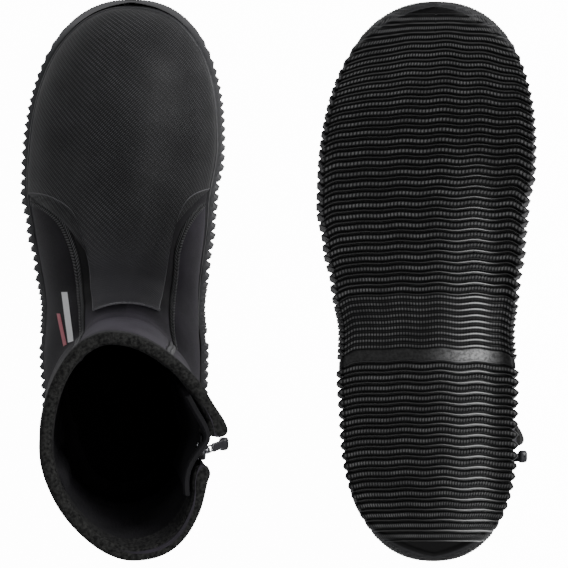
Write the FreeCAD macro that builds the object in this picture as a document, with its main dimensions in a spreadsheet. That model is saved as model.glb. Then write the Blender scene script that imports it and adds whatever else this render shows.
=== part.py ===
import FreeCAD, Part
import Sketcher
import math
import os
from FreeCAD import Placement, Rotation, Vector

# A pair of zipped neoprene water-sports boots. The left boot stands on its sole and the right boot
# stands on its cuff with the tread up. Every piece is modelled once, in the left boot's own frame:
# x towards the inner side of the foot, y from the back of the heel to the toe, z up from the floor.
# The right boot's pieces are the left ones mirrored top to bottom.

doc = FreeCAD.newDocument("neoprene_boots")

DIMENSIONS = {
    # whole boot
    "sole_length": 295.0,
    "boot_height": 230.0,
    "boot_spacing": 167.0,
    "boot_stagger": 12.0,
    "left_axis_x": -85.4,
    "left_heel_y": -134.9,
    # sole
    "sole_wall_height": 24.0,
    "sole_wall": 3.2,
    "sole_floor": 6.0,
    "upper_inset": 4.7,
    "wall_peak": 31.0,
    "tread_pitch": 5.6,
    "tread_groove": 2.6,
    "tread_depth": 1.6,
    "heel_tread_start": 14.0,
    "heel_grooves": 17.0,
    "front_tread_start": 114.6,
    "front_grooves": 29.0,
    "board_thickness": 1.5,
    "insole_thickness": 4.0,
    # upper
    "neoprene": 4.6,
    "lining": 0.9,
    "gusset": 3.0,
    "gusset_gap": 1.5,
    "skin_gap": 0.15,
    "guard_thickness": 1.1,
    "binding_thickness": 0.6,
    "rand_thickness": 1.7,
    "rand_top": 35.0,
    "binding_height": 15.0,
    "flap_flare": 10.5,
    "rear_lean": 9.5,
    "seam_width": 6.4,
    "seam_thickness": 0.6,
    # zip
    "zip_slot": 16.0,
    "tape_edge": 1.8,
    "tape_width": 6.0,
    "tape_thickness": 0.8,
    "tape_depth": 2.6,
    "tooth_start": 3.2,
    "tooth_pitch": 3.0,
    "tooth_count": 51.0,
    "tooth_length": 1.3,
    "tooth_reach": 2.7,
    "tooth_height": 2.1,
    "stop_length": 2.0,
    "slider_start": 5.5,
    "slider_length": 13.0,
    "slider_width": 9.6,
    "slider_plate": 1.5,
    "slider_gap": 0.25,
    "pull_tilt": 22.0,
}

sheet = doc.addObject("Spreadsheet::Sheet", "Dimensions")
for row, (alias, number) in enumerate(DIMENSIONS.items(), start=1):
    sheet.set("A%d" % row, alias)
    sheet.set("B%d" % row, "%g" % number)
    sheet.setAlias("B%d" % row, alias)
doc.recompute()


def size(alias):
    """A driving dimension, as the sheet holds it."""
    return float(sheet.get(alias))


def bind(obj, **cells):
    """Ties an object's properties to expressions of the sheet's cells."""
    for prop, words in cells.items():
        obj.setExpression(prop.replace("__", "."), words)
    return obj


# ---------------------------------------------------------------- the shape of the foot

# The sole's plan: heel and toe are superelliptic caps, and these stations lie between them.
HEEL_CAP_Y, TOE_CAP_Y = 70.0, 205.0
CAP_POWER = 2.3
# y, centre line x, half width
PLAN = (
    (70.0, 0.4, 46.3),
    (96.0, 0.0, 47.2),
    (120.0, -0.6, 45.8),
    (145.0, -1.2, 49.2),
    (165.0, -1.8, 52.6),
    (186.0, -2.6, 55.2),
    (205.0, -0.6, 57.0),
)
HEEL_TIP_X, TOE_TIP_X = 3.0, 4.6
TOE_SPRING, SPRING_START = 3.0, 238.0
# The sole's wall seen from the side: y, height, before it is cut off at wall_peak
WALL_TOP = ((-20.0, 31.0), (10.0, 31.0), (42.0, 24.0), (248.0, 24.0), (280.0, 31.0), (320.0, 31.0))

# The upper's outside. Its sections turn about one line in front of the ankle: vertical sections through
# the foot, then a fan through the heel, then level sections up the shaft.
FAN_Y, FAN_Z = 150.0, 140.0
TOE_SHARES = (0.985, 0.93, 0.84, 0.68, 0.44, 0.2, 0.0)
TOE_TOP, WIDEST_Z, UPPER_BOTTOM = 70.0, 25.0, 8.0
TOE_TOP_POWER, TOE_BOTTOM_POWER = 2.2, 5.0
# y, top height, widest height, power of the lower half
INSTEP = ((186.0, 77.0, 26.0, 4.0), (168.0, 84.5, 27.0, 3.8), (150.0, 93.5, 28.0, 3.5))
# degrees from straight down, then the near end, far end and widest place along the ray, half widths, power
FAN = (
    (16.0, 43.0, 137.3, 117.0, 42.0, 41.0, 3.3),
    (30.0, 40.0, 152.4, 125.0, 42.0, 41.6, 3.0),
    (40.0, 38.5, 170.4, 134.0, 41.0, 41.2, 2.7),
    (48.0, 38.0, 184.2, 137.0, 38.4, 41.0, 2.36),
    (57.0, 37.0, 171.8, 128.0, 37.7, 40.8, 2.2),
    (68.0, 35.5, 155.2, 117.0, 37.4, 41.2, 2.1),
    (80.0, 34.5, 143.5, 102.0, 37.5, 42.2, 2.0),
)
# z, front y, back y, widest y, half widths
SHAFT = (
    (140.0, 115.8, 9.0, 58.0, 37.2, 43.6),
    (160.0, 114.0, 6.5, 55.0, 37.1, 45.2),
    (180.0, 112.4, 3.0, 53.0, 37.2, 46.7),
    (205.0, 110.0, -4.0, 50.0, 37.3, 48.6),
    (230.0, 108.0, -12.0, 48.0, 37.5, 50.5),
    (245.0, 106.8, -17.0, 47.0, 37.6, 51.6),
)
RING_POINTS = 28
# The inner side stands away from the zip in front of it, more towards the cuff.
FLARE_START_Z, FLARE_FRONT_Y = 150.0, 102.0
# The shaft's back leans to the inner side from this height up, behind this line
LEAN_START_Z, LEAN_START_Y, LEAN_REACH = 110.0, 45.0, 48.0

# The zip's line on the outer skin, from the cuff down
ZIP_TOP = Vector(50.0, 45.0, 228.0)
ZIP_FOOT = Vector(38.8, 60.0, 66.0)


def cap(share, power):
    """Height of a superellipse at a share of its length."""
    return (1.0 - share**power) ** (1.0 / power)


def blend(y, column):
    """Smooth value between the plan's stations."""
    rows = PLAN
    for low, high in zip(rows, rows[1:]):
        if y <= high[0]:
            t = (y - low[0]) / (high[0] - low[0])
            t = t * t * (3.0 - 2.0 * t)
            return low[column] + (high[column] - low[column]) * t
    return rows[-1][column]


def plan_point(side, y, inset):
    """Where the sole's plan, moved in by inset, is at y. Side is -1 outer or 1 inner."""
    if y > TOE_CAP_Y:
        share = (y - TOE_CAP_Y) / (size("sole_length") - TOE_CAP_Y - inset)
        centre = PLAN[-1][1] + (TOE_TIP_X - PLAN[-1][1]) * share
        half = (PLAN[-1][2] - inset) * cap(min(share, 1.0), CAP_POWER)
    elif y < HEEL_CAP_Y:
        share = (HEEL_CAP_Y - y) / (HEEL_CAP_Y - inset)
        centre = PLAN[0][1] + (HEEL_TIP_X - PLAN[0][1]) * share
        half = (PLAN[0][2] - inset) * cap(min(share, 1.0), CAP_POWER)
    else:
        centre, half = blend(y, 1), blend(y, 2) - inset
    return centre + side * half


def plan_curve(inset):
    """The closed outline of the sole, moved in by inset."""
    shares = (0.0, 0.35, 0.6, 0.78, 0.9, 0.97)
    toe = [TOE_CAP_Y + (size("sole_length") - TOE_CAP_Y - inset) * s for s in shares]
    heel = [HEEL_CAP_Y - (HEEL_CAP_Y - inset) * s for s in shares[1:]]
    ys = sorted(heel) + [row[0] for row in PLAN[:-1]] + toe
    points = [Vector(plan_point(1, y, inset), y, 0) for y in ys]
    points.append(Vector(TOE_TIP_X, size("sole_length") - inset, 0))
    points += [Vector(plan_point(-1, y, inset), y, 0) for y in reversed(ys)]
    points.append(Vector(HEEL_TIP_X, inset, 0))
    curve = Part.BSplineCurve()
    curve.interpolate(Points=points, PeriodicFlag=True)
    return curve


def stations(grow):
    """The upper's sections, grown outwards: origin, direction, near, far, widest, half widths, powers."""
    inset = size("upper_inset") - grow
    found = []
    for share in TOE_SHARES:
        y = TOE_CAP_Y + (size("sole_length") - TOE_CAP_Y - inset) * share
        top = WIDEST_Z + (TOE_TOP - WIDEST_Z + grow) * cap(share, TOE_TOP_POWER)
        low = WIDEST_Z - (WIDEST_Z - UPPER_BOTTOM + grow) * cap(share, TOE_BOTTOM_POWER)
        found.append((y, FAN_Z, 0.0, -1.0, FAN_Z - top, FAN_Z - low, FAN_Z - WIDEST_Z,
                      -plan_point(-1, y, inset), plan_point(1, y, inset), 2.2, 4.0 - 1.8 * share))
    for y, top, widest, power in INSTEP:
        found.append((y, FAN_Z, 0.0, -1.0, FAN_Z - top - grow, FAN_Z - UPPER_BOTTOM + grow, FAN_Z - widest,
                      -plan_point(-1, y, inset), plan_point(1, y, inset), 2.1, power))
    for degrees, near, far, widest, outer, inner, power in FAN:
        turn = math.radians(degrees)
        found.append((FAN_Y, FAN_Z, -math.sin(turn), -math.cos(turn), near - grow, far + grow, widest,
                      outer + grow, inner + grow, 2.0, power))
    for z, front, back, widest, outer, inner in SHAFT:
        found.append((FAN_Y, z, -1.0, 0.0, FAN_Y - front - grow, FAN_Y - back + grow, FAN_Y - widest,
                      outer + grow, inner + grow, 2.0, 2.0))
    return found


def flare(point, strength):
    """How far the inner side stands out in front of the zip at this point of a shaft section."""
    if point.x <= 0.0 or point.z <= FLARE_START_Z:
        return 0.0
    zip_share = (ZIP_TOP.z - point.z) / (ZIP_TOP.z - ZIP_FOOT.z)
    zip_y = ZIP_TOP.y + (ZIP_FOOT.y - ZIP_TOP.y) * zip_share
    rise = (point.z - FLARE_START_Z) / (size("boot_height") - FLARE_START_Z)
    front = (FLARE_FRONT_Y - point.y) / (FLARE_FRONT_Y - zip_y - size("zip_slot") / 2)
    behind = (point.y - zip_y + size("zip_slot") / 2) / size("zip_slot")
    return strength * rise**1.5 * max(0.0, min(1.0, front)) * max(0.0, min(1.0, behind))


def lean(point):
    """How far the shaft's back leans to the inner side at this point, towards its open top."""
    rise = max(0.0, (point.z - LEAN_START_Z) / (size("boot_height") - LEAN_START_Z))
    back = max(0.0, (LEAN_START_Y - point.y) / LEAN_REACH)
    return size("rear_lean") * rise**1.4 * back**1.5


def ring(station, strength):
    """One closed section as a periodic curve of RING_POINTS spans."""
    oy, oz, dy, dz, near, far, widest, outer, inner, near_power, far_power = station
    points = []
    for i in range(RING_POINTS):
        turn = -2.0 * math.pi * i / RING_POINTS
        across, along = math.cos(turn), math.sin(turn)
        power = far_power if along > 0 else near_power
        half = inner if across > 0 else outer
        span = far - widest if along > 0 else widest - near
        x = math.copysign(abs(across) ** (2.0 / power), across) * half
        r = widest + math.copysign(abs(along) ** (2.0 / power), along) * span
        point = Vector(x, oy + dy * r, oz + dz * r)
        point.x += flare(point, strength) + lean(point)
        points.append(point)
    curve = Part.BSplineCurve()
    steps = [float(i) for i in range(RING_POINTS + 1)]
    curve.interpolate(Points=points, PeriodicFlag=True, Parameters=steps)
    return curve


def ring_places():
    """How far apart the sections lie, which every skin shares so that the skins stay parallel."""
    rings = [ring(station, 0.0) for station in stations(0.0)]
    places = [0.0]
    for low, high in zip(rings, rings[1:]):
        gaps = [(p - q).Length for p, q in zip(low.getPoles(), high.getPoles())]
        places.append(places[-1] + sum(gaps) / len(gaps))
    return places


def skin(label, grow, strength=None):
    """A closed solid bounded by the upper's outside moved out by grow, skinned through its sections."""
    strength = size("flap_flare") if strength is None else strength
    rings = [ring(station, strength) for station in stations(grow)]
    count = len(rings[0].getPoles())
    places = ring_places()
    columns = []
    for pole in range(count):
        column = Part.BSplineCurve()
        column.interpolate(Points=[r.getPole(pole + 1) for r in rings], Parameters=places)
        columns.append(column)
    poles = [[c.getPole(row + 1) for c in columns] for row in range(len(columns[0].getPoles()))]
    surface = Part.BSplineSurface()
    surface.buildFromPolesMultsKnots(
        poles, columns[0].getMultiplicities(), rings[0].getMultiplicities(),
        columns[0].getKnots(), rings[0].getKnots(), False, True, 3, 3)
    low, high = surface.bounds()[:2]
    ends = [Part.Face(Part.Wire([surface.uIso(u).toShape()])) for u in (low, high)]
    shell = Part.Shell([surface.toShape()] + ends)
    shell.sewShape()
    solid = Part.Solid(shell)
    if solid.Volume < 0:
        solid.reverse()
    made = doc.addObject("Part::Feature", label)
    made.Shape = solid
    return made


# ---------------------------------------------------------------- document helpers


def common(label, *shapes):
    made = doc.addObject("Part::MultiCommon", label)
    made.Shapes = list(shapes)
    return made


def fuse(label, *shapes):
    made = doc.addObject("Part::MultiFuse", label)
    made.Shapes = list(shapes)
    return made


def cut(label, base, tool):
    made = doc.addObject("Part::Cut", label)
    made.Base, made.Tool = base, tool
    return made


def box(label, corner, **cells):
    """A box with its lowest corner at corner. Cells bind Length, Width and Height, or place it."""
    made = doc.addObject("Part::Box", label)
    made.Placement.Base = Vector(*corner)
    return bind(made, **cells)


def prism(label, points, along, smooth=False, length=600.0):
    """A closed outline in the plane normal to along, swept along it both ways."""
    flat = [Vector(p[0], p[1], 0) if along == "z" else Vector(0, p[0], p[1]) for p in points]
    if smooth:
        curve = Part.BSplineCurve()
        curve.interpolate(Points=flat)
        wire = Part.Wire([curve.toShape(), Part.makeLine(flat[-1], flat[0])])
    else:
        wire = Part.makePolygon(flat + flat[:1])
    outline = doc.addObject("Part::Feature", label + "_outline")
    outline.Shape = Part.Face(wire)
    made = doc.addObject("Part::Extrusion", label)
    made.Base = outline
    made.Dir = Vector(0, 0, 1) if along == "z" else Vector(1, 0, 0)
    made.DirMode = "Custom"
    made.Solid = True
    made.Symmetric = True
    made.LengthFwd = length
    return made


def slab(label, low, high):
    """Everything between two heights, each an expression of the sheet."""
    made = doc.addObject("Part::Box", label)
    made.Length, made.Width = 300, 500
    made.Placement.Base = Vector(-150, -100, 0)
    return bind(made, Placement__Base__z=low, Height="(%s) - (%s)" % (high, low))


def plan_prism(label, inset, low, high):
    """The sole's plan moved in by inset, between two heights given as expressions."""
    outline = doc.addObject("Part::Feature", label + "_outline")
    outline.Shape = Part.Face(Part.Wire([plan_curve(inset).toShape()]))
    made = doc.addObject("Part::Extrusion", label)
    made.Base = outline
    made.Dir = Vector(0, 0, 1)
    made.DirMode = "Custom"
    made.Solid = True
    return bind(made, LengthFwd="(%s) - (%s)" % (high, low), Placement__Base__z=low)


def eased(points, steps=3):
    """The run of points with a smooth curve's points put in between."""
    curve = Part.BSplineCurve()
    curve.interpolate(Points=[Vector(x, y, 0) for x, y in points])
    knots = curve.getKnots()
    run = []
    for low, high in zip(knots, knots[1:]):
        run += [curve.value(low + (high - low) * i / steps) for i in range(steps)]
    run.append(curve.value(knots[-1]))
    return [(p.x, p.y) for p in run]


def ribbon(points, width):
    """The closed outline of a band of this width along a run of points."""
    points = eased(points)
    sides = ([], [])
    for i, here in enumerate(points):
        before, after = points[max(i - 1, 0)], points[min(i + 1, len(points) - 1)]
        run = (after[0] - before[0], after[1] - before[1])
        long = math.hypot(*run)
        shift = (-run[1] / long * width / 2.0, run[0] / long * width / 2.0)
        sides[0].append((here[0] + shift[0], here[1] + shift[1]))
        sides[1].append((here[0] - shift[0], here[1] - shift[1]))
    return sides[0] + sides[1][::-1]


# ---------------------------------------------------------------- seam and panel outlines

# Seams seen from above, from the sole's edge over the instep and up the shaft's front: x, y
OUTER_SEAM = ((-78.0, 184.0), (-60.0, 182.5), (-51.0, 181.0), (-44.0, 177.0), (-40.0, 174.5), (-34.0, 169.0),
              (-29.5, 160.0), (-26.5, 152.0), (-24.0, 141.0), (-22.5, 131.0), (-21.5, 118.8), (-21.0, 108.0),
              (-22.0, 64.0))
INNER_SEAM = ((76.0, 188.0), (60.0, 186.0), (51.3, 184.0), (48.0, 181.0), (42.8, 176.0), (39.2, 170.7),
              (36.3, 165.5), (34.0, 159.4), (31.8, 151.9), (30.8, 141.0), (29.3, 131.0), (28.0, 118.8),
              (28.5, 107.0), (31.0, 95.0), (33.0, 64.0))
GUARD_OUTER = ((-80.0, 188.0), (-51.5, 186.3), (-41.7, 184.7), (-34.8, 181.4), (-28.1, 177.3), (-24.2, 172.0),
               (-22.0, 164.0), (-19.4, 155.5), (-16.6, 143.4), (-15.7, 131.0), (-13.9, 118.8))
GUARD_REAR = ((-13.9, 118.8), (3.8, 122.8), (20.7, 119.3))
GUARD_INNER = ((20.7, 119.3), (24.0, 136.0), (25.8, 146.8), (27.3, 156.9), (29.7, 168.8), (31.6, 174.6),
               (34.1, 180.8), (38.7, 185.1), (44.0, 187.6), (52.0, 190.3), (80.0, 192.0))
# The seam behind the outer ankle, seen from the side: y, z
REAR_SEAM = ((24.0, 236.0), (27.0, 200.0), (33.0, 150.0), (42.0, 100.0), (50.0, 60.0), (53.0, 0.0))
# The heel guard, seen from the side
HEEL_GUARD = ((-30.0, 36.0), (46.0, 36.0), (40.0, 56.0), (27.0, 72.0), (12.0, 80.0), (-30.0, 82.0))
# The two stripes on the outer side of the ankle, seen from above
STRIPES = (((-33.0, 129.5), (-29.6, 129.5), (-25.2, 102.5), (-28.4, 101.5)),
           ((-35.6, 117.5), (-33.6, 117.5), (-29.2, 100.5), (-31.2, 99.5)))
STRIPE_LOW = 58.0


def zip_frame():
    """The zip's own axes: along it down the boot, across it towards the toe, and out of the boot."""
    along = (ZIP_FOOT - ZIP_TOP).normalize()
    across = Vector(1, 0, 0).cross(along).normalize()
    if across.y < 0:
        across = across * -1
    out = along.cross(across)
    if out.x < 0:
        out = out * -1
    return along, across, out


ALONG, ACROSS, OUT = zip_frame()
ZIP_RUN = (ZIP_FOOT - ZIP_TOP).Length
ZIP_ORIGIN = ZIP_TOP - OUT * size("tape_depth")
ZIP_TURN = Rotation(ALONG, OUT.cross(ALONG), OUT, "ZXY")


def zip_placement():
    """Local x runs down the zip, local z stands out of the boot, and the origin is the zip's top."""
    return Placement(ZIP_ORIGIN, ZIP_TURN)


# ---------------------------------------------------------------- pieces


def new_body(label):
    body = doc.addObject("PartDesign::Body", label)
    body.AllowCompound = True
    return body


def sketch_on(body, label, role):
    """A sketch on one of the body's own planes."""
    plane = [f for f in body.Origin.OriginFeatures if f.Role == role][0]
    sketch = doc.addObject("Sketcher::SketchObject", label)
    body.addObject(sketch)
    sketch.AttachmentSupport = (plane, [""])
    sketch.MapMode = "FlatFace"
    return sketch


def outline(sketch, points):
    """A closed run of straight lines."""
    for low, high in zip(points, points[1:] + points[:1]):
        sketch.addGeometry(Part.LineSegment(Vector(low[0], low[1], 0), Vector(high[0], high[1], 0)), False)


def rectangle(sketch, left, right, low, high):
    outline(sketch, [(left, low), (right, low), (right, high), (left, high)])


def side_pocket(body, label, points):
    """Cuts the outline, drawn in the side view, right through the body."""
    sketch = sketch_on(body, label + "_sketch", "YZ_Plane")
    outline(sketch, list(points))
    pocket = body.newObject("PartDesign::Pocket", label)
    pocket.Profile = sketch
    pocket.Type = "ThroughAll"
    pocket.SideType = "Symmetric"
    return pocket


def groove_run(body, label, first, count):
    """A run of straight grooves across the tread, count of them from first on."""
    sketch = sketch_on(body, label + "_sketch", "YZ_Plane")
    outline(sketch, [(first, -2.0), (first + 2.0, -2.0), (first + 2.0, 1.0), (first, 1.0)])
    sketch.addConstraint([
        Sketcher.Constraint("Coincident", 0, 2, 1, 1),
        Sketcher.Constraint("Coincident", 1, 2, 2, 1),
        Sketcher.Constraint("Coincident", 2, 2, 3, 1),
        Sketcher.Constraint("Coincident", 3, 2, 0, 1),
        Sketcher.Constraint("Horizontal", 0),
        Sketcher.Constraint("Vertical", 1),
        Sketcher.Constraint("Horizontal", 2),
        Sketcher.Constraint("Vertical", 3),
        Sketcher.Constraint("DistanceX", -1, 1, 0, 1, first),
        Sketcher.Constraint("DistanceX", 0, 1, 0, 2, 2.0),
        Sketcher.Constraint("DistanceY", -1, 1, 2, 2, 1.0),
        Sketcher.Constraint("DistanceY", 0, 1, -1, 1, 2.0),
    ])
    for name, place in (("start", 8), ("width", 9), ("depth", 10)):
        sketch.renameConstraint(place, name)
    sketch.setExpression("Constraints.width", "Dimensions.tread_groove")
    sketch.setExpression("Constraints.depth", "Dimensions.tread_depth")
    pocket = body.newObject("PartDesign::Pocket", label)
    pocket.Profile = sketch
    pocket.Type = "ThroughAll"
    pocket.SideType = "Symmetric"
    run = body.newObject("PartDesign::LinearPattern", label + "s")
    run.Originals = [pocket]
    run.Direction = (sketch, ["H_Axis"])
    run.setExpression("Occurrences", count)
    run.setExpression("Length", "Dimensions.tread_pitch * (%s - 1)" % count)
    body.Tip = run
    return run


def make_outsole():
    """A cupped rubber sole: a well for the foot inside a low wall, and straight grooves across the tread."""
    body = new_body("outsole")
    plan = sketch_on(body, "plan_sketch", "XY_Plane")
    plan.addGeometry(plan_curve(0.0), False)
    block = body.newObject("PartDesign::Pad", "sole_block")
    block.Profile = plan
    bind(block, Length="Dimensions.wall_peak")
    inner = sketch_on(body, "well_sketch", "XY_Plane")
    inner.addGeometry(plan_curve(size("sole_wall")), False)
    bind(inner, AttachmentOffset__Base__z="Dimensions.sole_floor")
    well = body.newObject("PartDesign::Pocket", "foot_well")
    well.Profile = inner
    well.Type = "ThroughAll"
    well.Reversed = True
    side_pocket(body, "wall_top", list(WALL_TOP) + [(320.0, 60.0), (-20.0, 60.0)])
    toe = SPRING_START, size("sole_length") + 10.0
    side_pocket(body, "toe_spring", [(toe[0], 0.0), (toe[1], TOE_SPRING), (toe[1], -10.0), (toe[0], -10.0)])
    groove_run(body, "heel_groove", size("heel_tread_start"), "Dimensions.heel_grooves")
    groove_run(body, "front_groove", size("front_tread_start"), "Dimensions.front_grooves")
    return body


def make_zones():
    """The prisms that share the upper out between its panels."""
    front_top = eased(OUTER_SEAM) + eased(INNER_SEAM)[::-1]
    front_top += [(90.0, 188.0), (90.0, 330.0), (-90.0, 330.0), (-90.0, 184.0)]
    front_side = [(50.0, 40.0), (188.0, 40.0), (188.0, -20.0), (330.0, -20.0), (330.0, 300.0), (50.0, 300.0)]
    front = common("front_zone", prism("front_top", front_top, "z"), prism("front_side", front_side, "x"))
    rear = eased(REAR_SEAM)
    rear_side = prism("rear_side", [(-60.0, 300.0), (rear[0][0] - 2.0, 300.0)] + rear + [(-60.0, -5.0)], "x")
    outer_half = box("outer_half", (-150.0, -100.0, -50.0))
    outer_half.Length, outer_half.Width, outer_half.Height = 150.0, 500.0, 400.0
    top, foot = ZIP_TOP - ALONG * 40.0, ZIP_FOOT + ALONG * 80.0
    behind_zip = prism("behind_zip", [(-60.0, top.z), (top.y, top.z), (foot.y, foot.z), (-60.0, foot.z)], "x")
    heel = fuse("heel_zone", common("heel_outer", rear_side, outer_half), cut("heel_inner", behind_zip, outer_half))
    slot = box("zip_slot_cutter", (0, 0, 0), Width="Dimensions.zip_slot")
    slot.Length, slot.Height = ZIP_RUN + 40.0, 40.0
    corner = ZIP_TOP - ALONG * 40.0 - ACROSS * (size("zip_slot") / 2.0) - OUT * 20.0
    slot.Placement = Placement(corner, ZIP_TURN)
    return front, heel, outer_half, slot


def make_upper(front, heel, outer_half, slot, skins):
    """The four neoprene panels and the lining, all open at the cuff and slotted for the zip."""
    below_rim = slab("below_rim", "-20", "Dimensions.boot_height - Dimensions.binding_thickness - 0.2")
    sock = cut("sock", common("sock_outside", skins["out"], below_rim), skins["neoprene_in"])
    sock = cut("slotted_sock", sock, slot)
    front_panel = common("front_panel", sock, front)
    heel_panel = common("heel_panel", sock, heel)
    both = fuse("front_and_heel_zone", front, heel)
    sides = cut("side_panels", sock, both)
    lateral_panel = common("lateral_panel", sides, outer_half)
    medial_panel = cut("medial_panel", sides, outer_half)
    lining = cut("lining_sock", common("lining_outside", skins["lining_out"], below_rim), skins["lining_in"])
    lining = cut("lining", lining, slot)
    gusset_side = prism("gusset_side", gusset_outline(), "x")
    gusset = cut("gusset_sock", skins["gusset_out"], skins["gusset_in"])
    gusset = cut("zip_gusset", common("gusset_band", gusset, gusset_side), outer_half)
    return [front_panel, lateral_panel, medial_panel, heel_panel, lining, gusset]


def gusset_outline():
    """The flap behind the zip, seen from the side."""
    top, foot = ZIP_TOP, ZIP_FOOT + ALONG * 6.0
    return [(top.y - 15.0, top.z), (top.y + 31.0, top.z), (foot.y + 16.0, foot.z), (foot.y - 15.0, foot.z)]


def guard_edge():
    """The closed outline of the guard over the toe and instep."""
    return eased(GUARD_OUTER)[:-1] + eased(GUARD_REAR)[:-1] + eased(GUARD_INNER) + [(80.0, 320.0), (-80.0, 320.0)]


def make_shells(slot, skins):
    """The pieces laid over the neoprene: cuff binding, guards, rand, seams and stripes."""
    guard_layer = cut("guard_layer", skins["guard_out"], skins["guard_in"])
    guard_top = prism("guard_top", guard_edge(), "z")
    above_rand = slab("above_rand", "Dimensions.rand_top + 0.3", "Dimensions.boot_height - 60")
    instep_guard = common("instep_guard", guard_layer, guard_top, above_rand)
    heel_guard = common("heel_guard", guard_layer, prism("heel_guard_side", HEEL_GUARD, "x"))
    rim = slab("rim", "Dimensions.boot_height - Dimensions.binding_height", "Dimensions.boot_height")
    rim_core = common("rim_core", cut("rim_layers", skins["guard_in"], skins["binding_core"]),
                      slab("rim_core_height", "0", "Dimensions.boot_height - Dimensions.binding_thickness"))
    binding = cut("binding_ring", cut("binding_wall", skins["binding_out"], skins["binding_in"]), rim_core)
    binding = cut("cuff_binding", common("binding_rim", binding, rim), slot)
    over_wall = list(WALL_TOP)
    over_wall = [(y, z + size("skin_gap")) for y, z in over_wall]
    over_wall += [(320.0, size("rand_top")), (-20.0, size("rand_top"))]
    rand = common("rand", cut("rand_layer", skins["rand_out"], skins["guard_in"]),
                  prism("rand_side", over_wall, "x"))
    return guard_layer, guard_top, [instep_guard, heel_guard, binding, rand]


def make_seams(guard_top, outer_half, skins):
    """Raised flatlock stitching along the panels' seams."""
    layer = cut("seam_layer", skins["seam_out"], skins["guard_in"])
    guarded = prism("guard_margin", [(x * 1.05, y - 1.5) for x, y in guard_edge()], "z")
    front_span = common("seam_span", slab("seam_height", "Dimensions.rand_top + 0.3",
                        "Dimensions.boot_height - Dimensions.binding_height - 0.3"),
                        prism("seam_side", [(70.0, 0.0), (260.0, 0.0), (260.0, 260.0), (70.0, 260.0)], "x"))
    open_layer = cut("open_seam_layer", common("front_seam_layer", layer, front_span), guarded)
    width = size("seam_width")
    lateral = common("lateral_seam", open_layer, prism("lateral_band", ribbon(OUTER_SEAM, width), "z"))
    medial = common("medial_seam", open_layer, prism("medial_band", ribbon(INNER_SEAM, width), "z"))
    rear_height = slab("rear_seam_height", "Dimensions.rand_top + 0.3",
                       "Dimensions.boot_height - Dimensions.binding_height - 0.3")
    rear = common("rear_seam_band", layer, prism("rear_band", ribbon(REAR_SEAM, width), "x"), rear_height, outer_half)
    low_guard = prism("heel_guard_margin", [(y + 2.0, z + 2.0) for y, z in HEEL_GUARD], "x")
    return [lateral, medial, cut("rear_seam", rear, low_guard)]


def make_stripes(outer_half, skins):
    """Two slanted printed stripes on the outer side of the ankle."""
    layer = common("stripe_layer", cut("stripe_skin", skins["seam_out"], skins["guard_in"]), outer_half)
    bars = [prism("stripe_%d" % i, corners, "z") for i, corners in enumerate(STRIPES)]
    height = slab("stripe_height", "%g" % STRIPE_LOW, "Dimensions.boot_height - Dimensions.binding_height - 1")
    return common("side_stripes", layer, fuse("stripe_bars", *bars), height)


def make_soles(skins):
    """The board that closes the sock's bottom onto the sole, and the loose insole inside."""
    board = plan_prism("insole_board", size("sole_wall") + 0.3, "Dimensions.sole_floor + 0.1",
                       "Dimensions.sole_floor + 0.1 + Dimensions.board_thickness")
    floor = "Dimensions.neoprene + Dimensions.lining + %g" % (UPPER_BOTTOM + 0.8)
    height = slab("insole_height", floor, floor + " + Dimensions.insole_thickness")
    return [board, common("insole", skins["insole"], height)]


# ---------------------------------------------------------------- zip


def zip_box(label, run, across, out, **cells):
    """A box in the zip's own frame, between two values on each axis. Cells bind its sides."""
    made = doc.addObject("Part::Box", label)
    made.Length, made.Width, made.Height = run[1] - run[0], across[1] - across[0], out[1] - out[0]
    made.Placement = zip_placement().multiply(Placement(Vector(run[0], across[0], out[0]), Rotation()))
    return bind(made, **cells)


def make_tape(label, side):
    half = size("tape_thickness") / 2.0
    near, far = size("tape_edge"), size("tape_edge") + size("tape_width")
    across = (near, far) if side > 0 else (-far, -near)
    return zip_box(label, (0.4, ZIP_RUN - 0.4), across, (-half, half),
                   Width="Dimensions.tape_width", Height="Dimensions.tape_thickness")


def make_teeth(label, side):
    """One side's run of teeth, as a patterned body whose plane faces out of the boot."""
    body = new_body(label)
    sketch = sketch_on(body, label + "_sketch", "XY_Plane")
    near = size("tape_edge") - 0.1
    low = near - size("tooth_reach")
    start = size("tooth_start") + (0.0 if side > 0 else size("tooth_pitch") / 2.0)
    edges = (low, near) if side > 0 else (-near, -low)
    rectangle(sketch, start, start + size("tooth_length"), *edges)
    bind(sketch, AttachmentOffset__Base__z="-Dimensions.tooth_height / 2")
    tooth = body.newObject("PartDesign::Pad", label + "_tooth")
    tooth.Profile = sketch
    bind(tooth, Length="Dimensions.tooth_height")
    run = body.newObject("PartDesign::LinearPattern", label + "_run")
    run.Originals = [tooth]
    run.Direction = (sketch, ["H_Axis"])
    bind(run, Occurrences="Dimensions.tooth_count", Length="Dimensions.tooth_pitch * (Dimensions.tooth_count - 1)")
    body.Tip = run
    body.Placement = zip_placement()
    return body


def make_stops():
    """Two stops at the cuff end, one on each tape, and one across both tapes at the foot end."""
    length = size("stop_length")
    near = size("tape_edge") - 1.2
    tops = [zip_box("top_stop_%d" % i, (0.9, 0.9 + length), across, (0.55, 1.9), Length="Dimensions.stop_length")
            for i, across in enumerate(((near, near + 3.2), (-near - 3.2, -near)))]
    foot = ZIP_RUN - 1.0 - length
    bottom = zip_box("zip_bottom_stop", (foot, foot + length), (-4.0, 4.0), (0.55, 2.1), Length="Dimensions.stop_length")
    return [fuse("zip_top_stops", *tops), bottom]


LUG_HIGH = 2.6
PIN_RADIUS = 0.5


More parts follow.
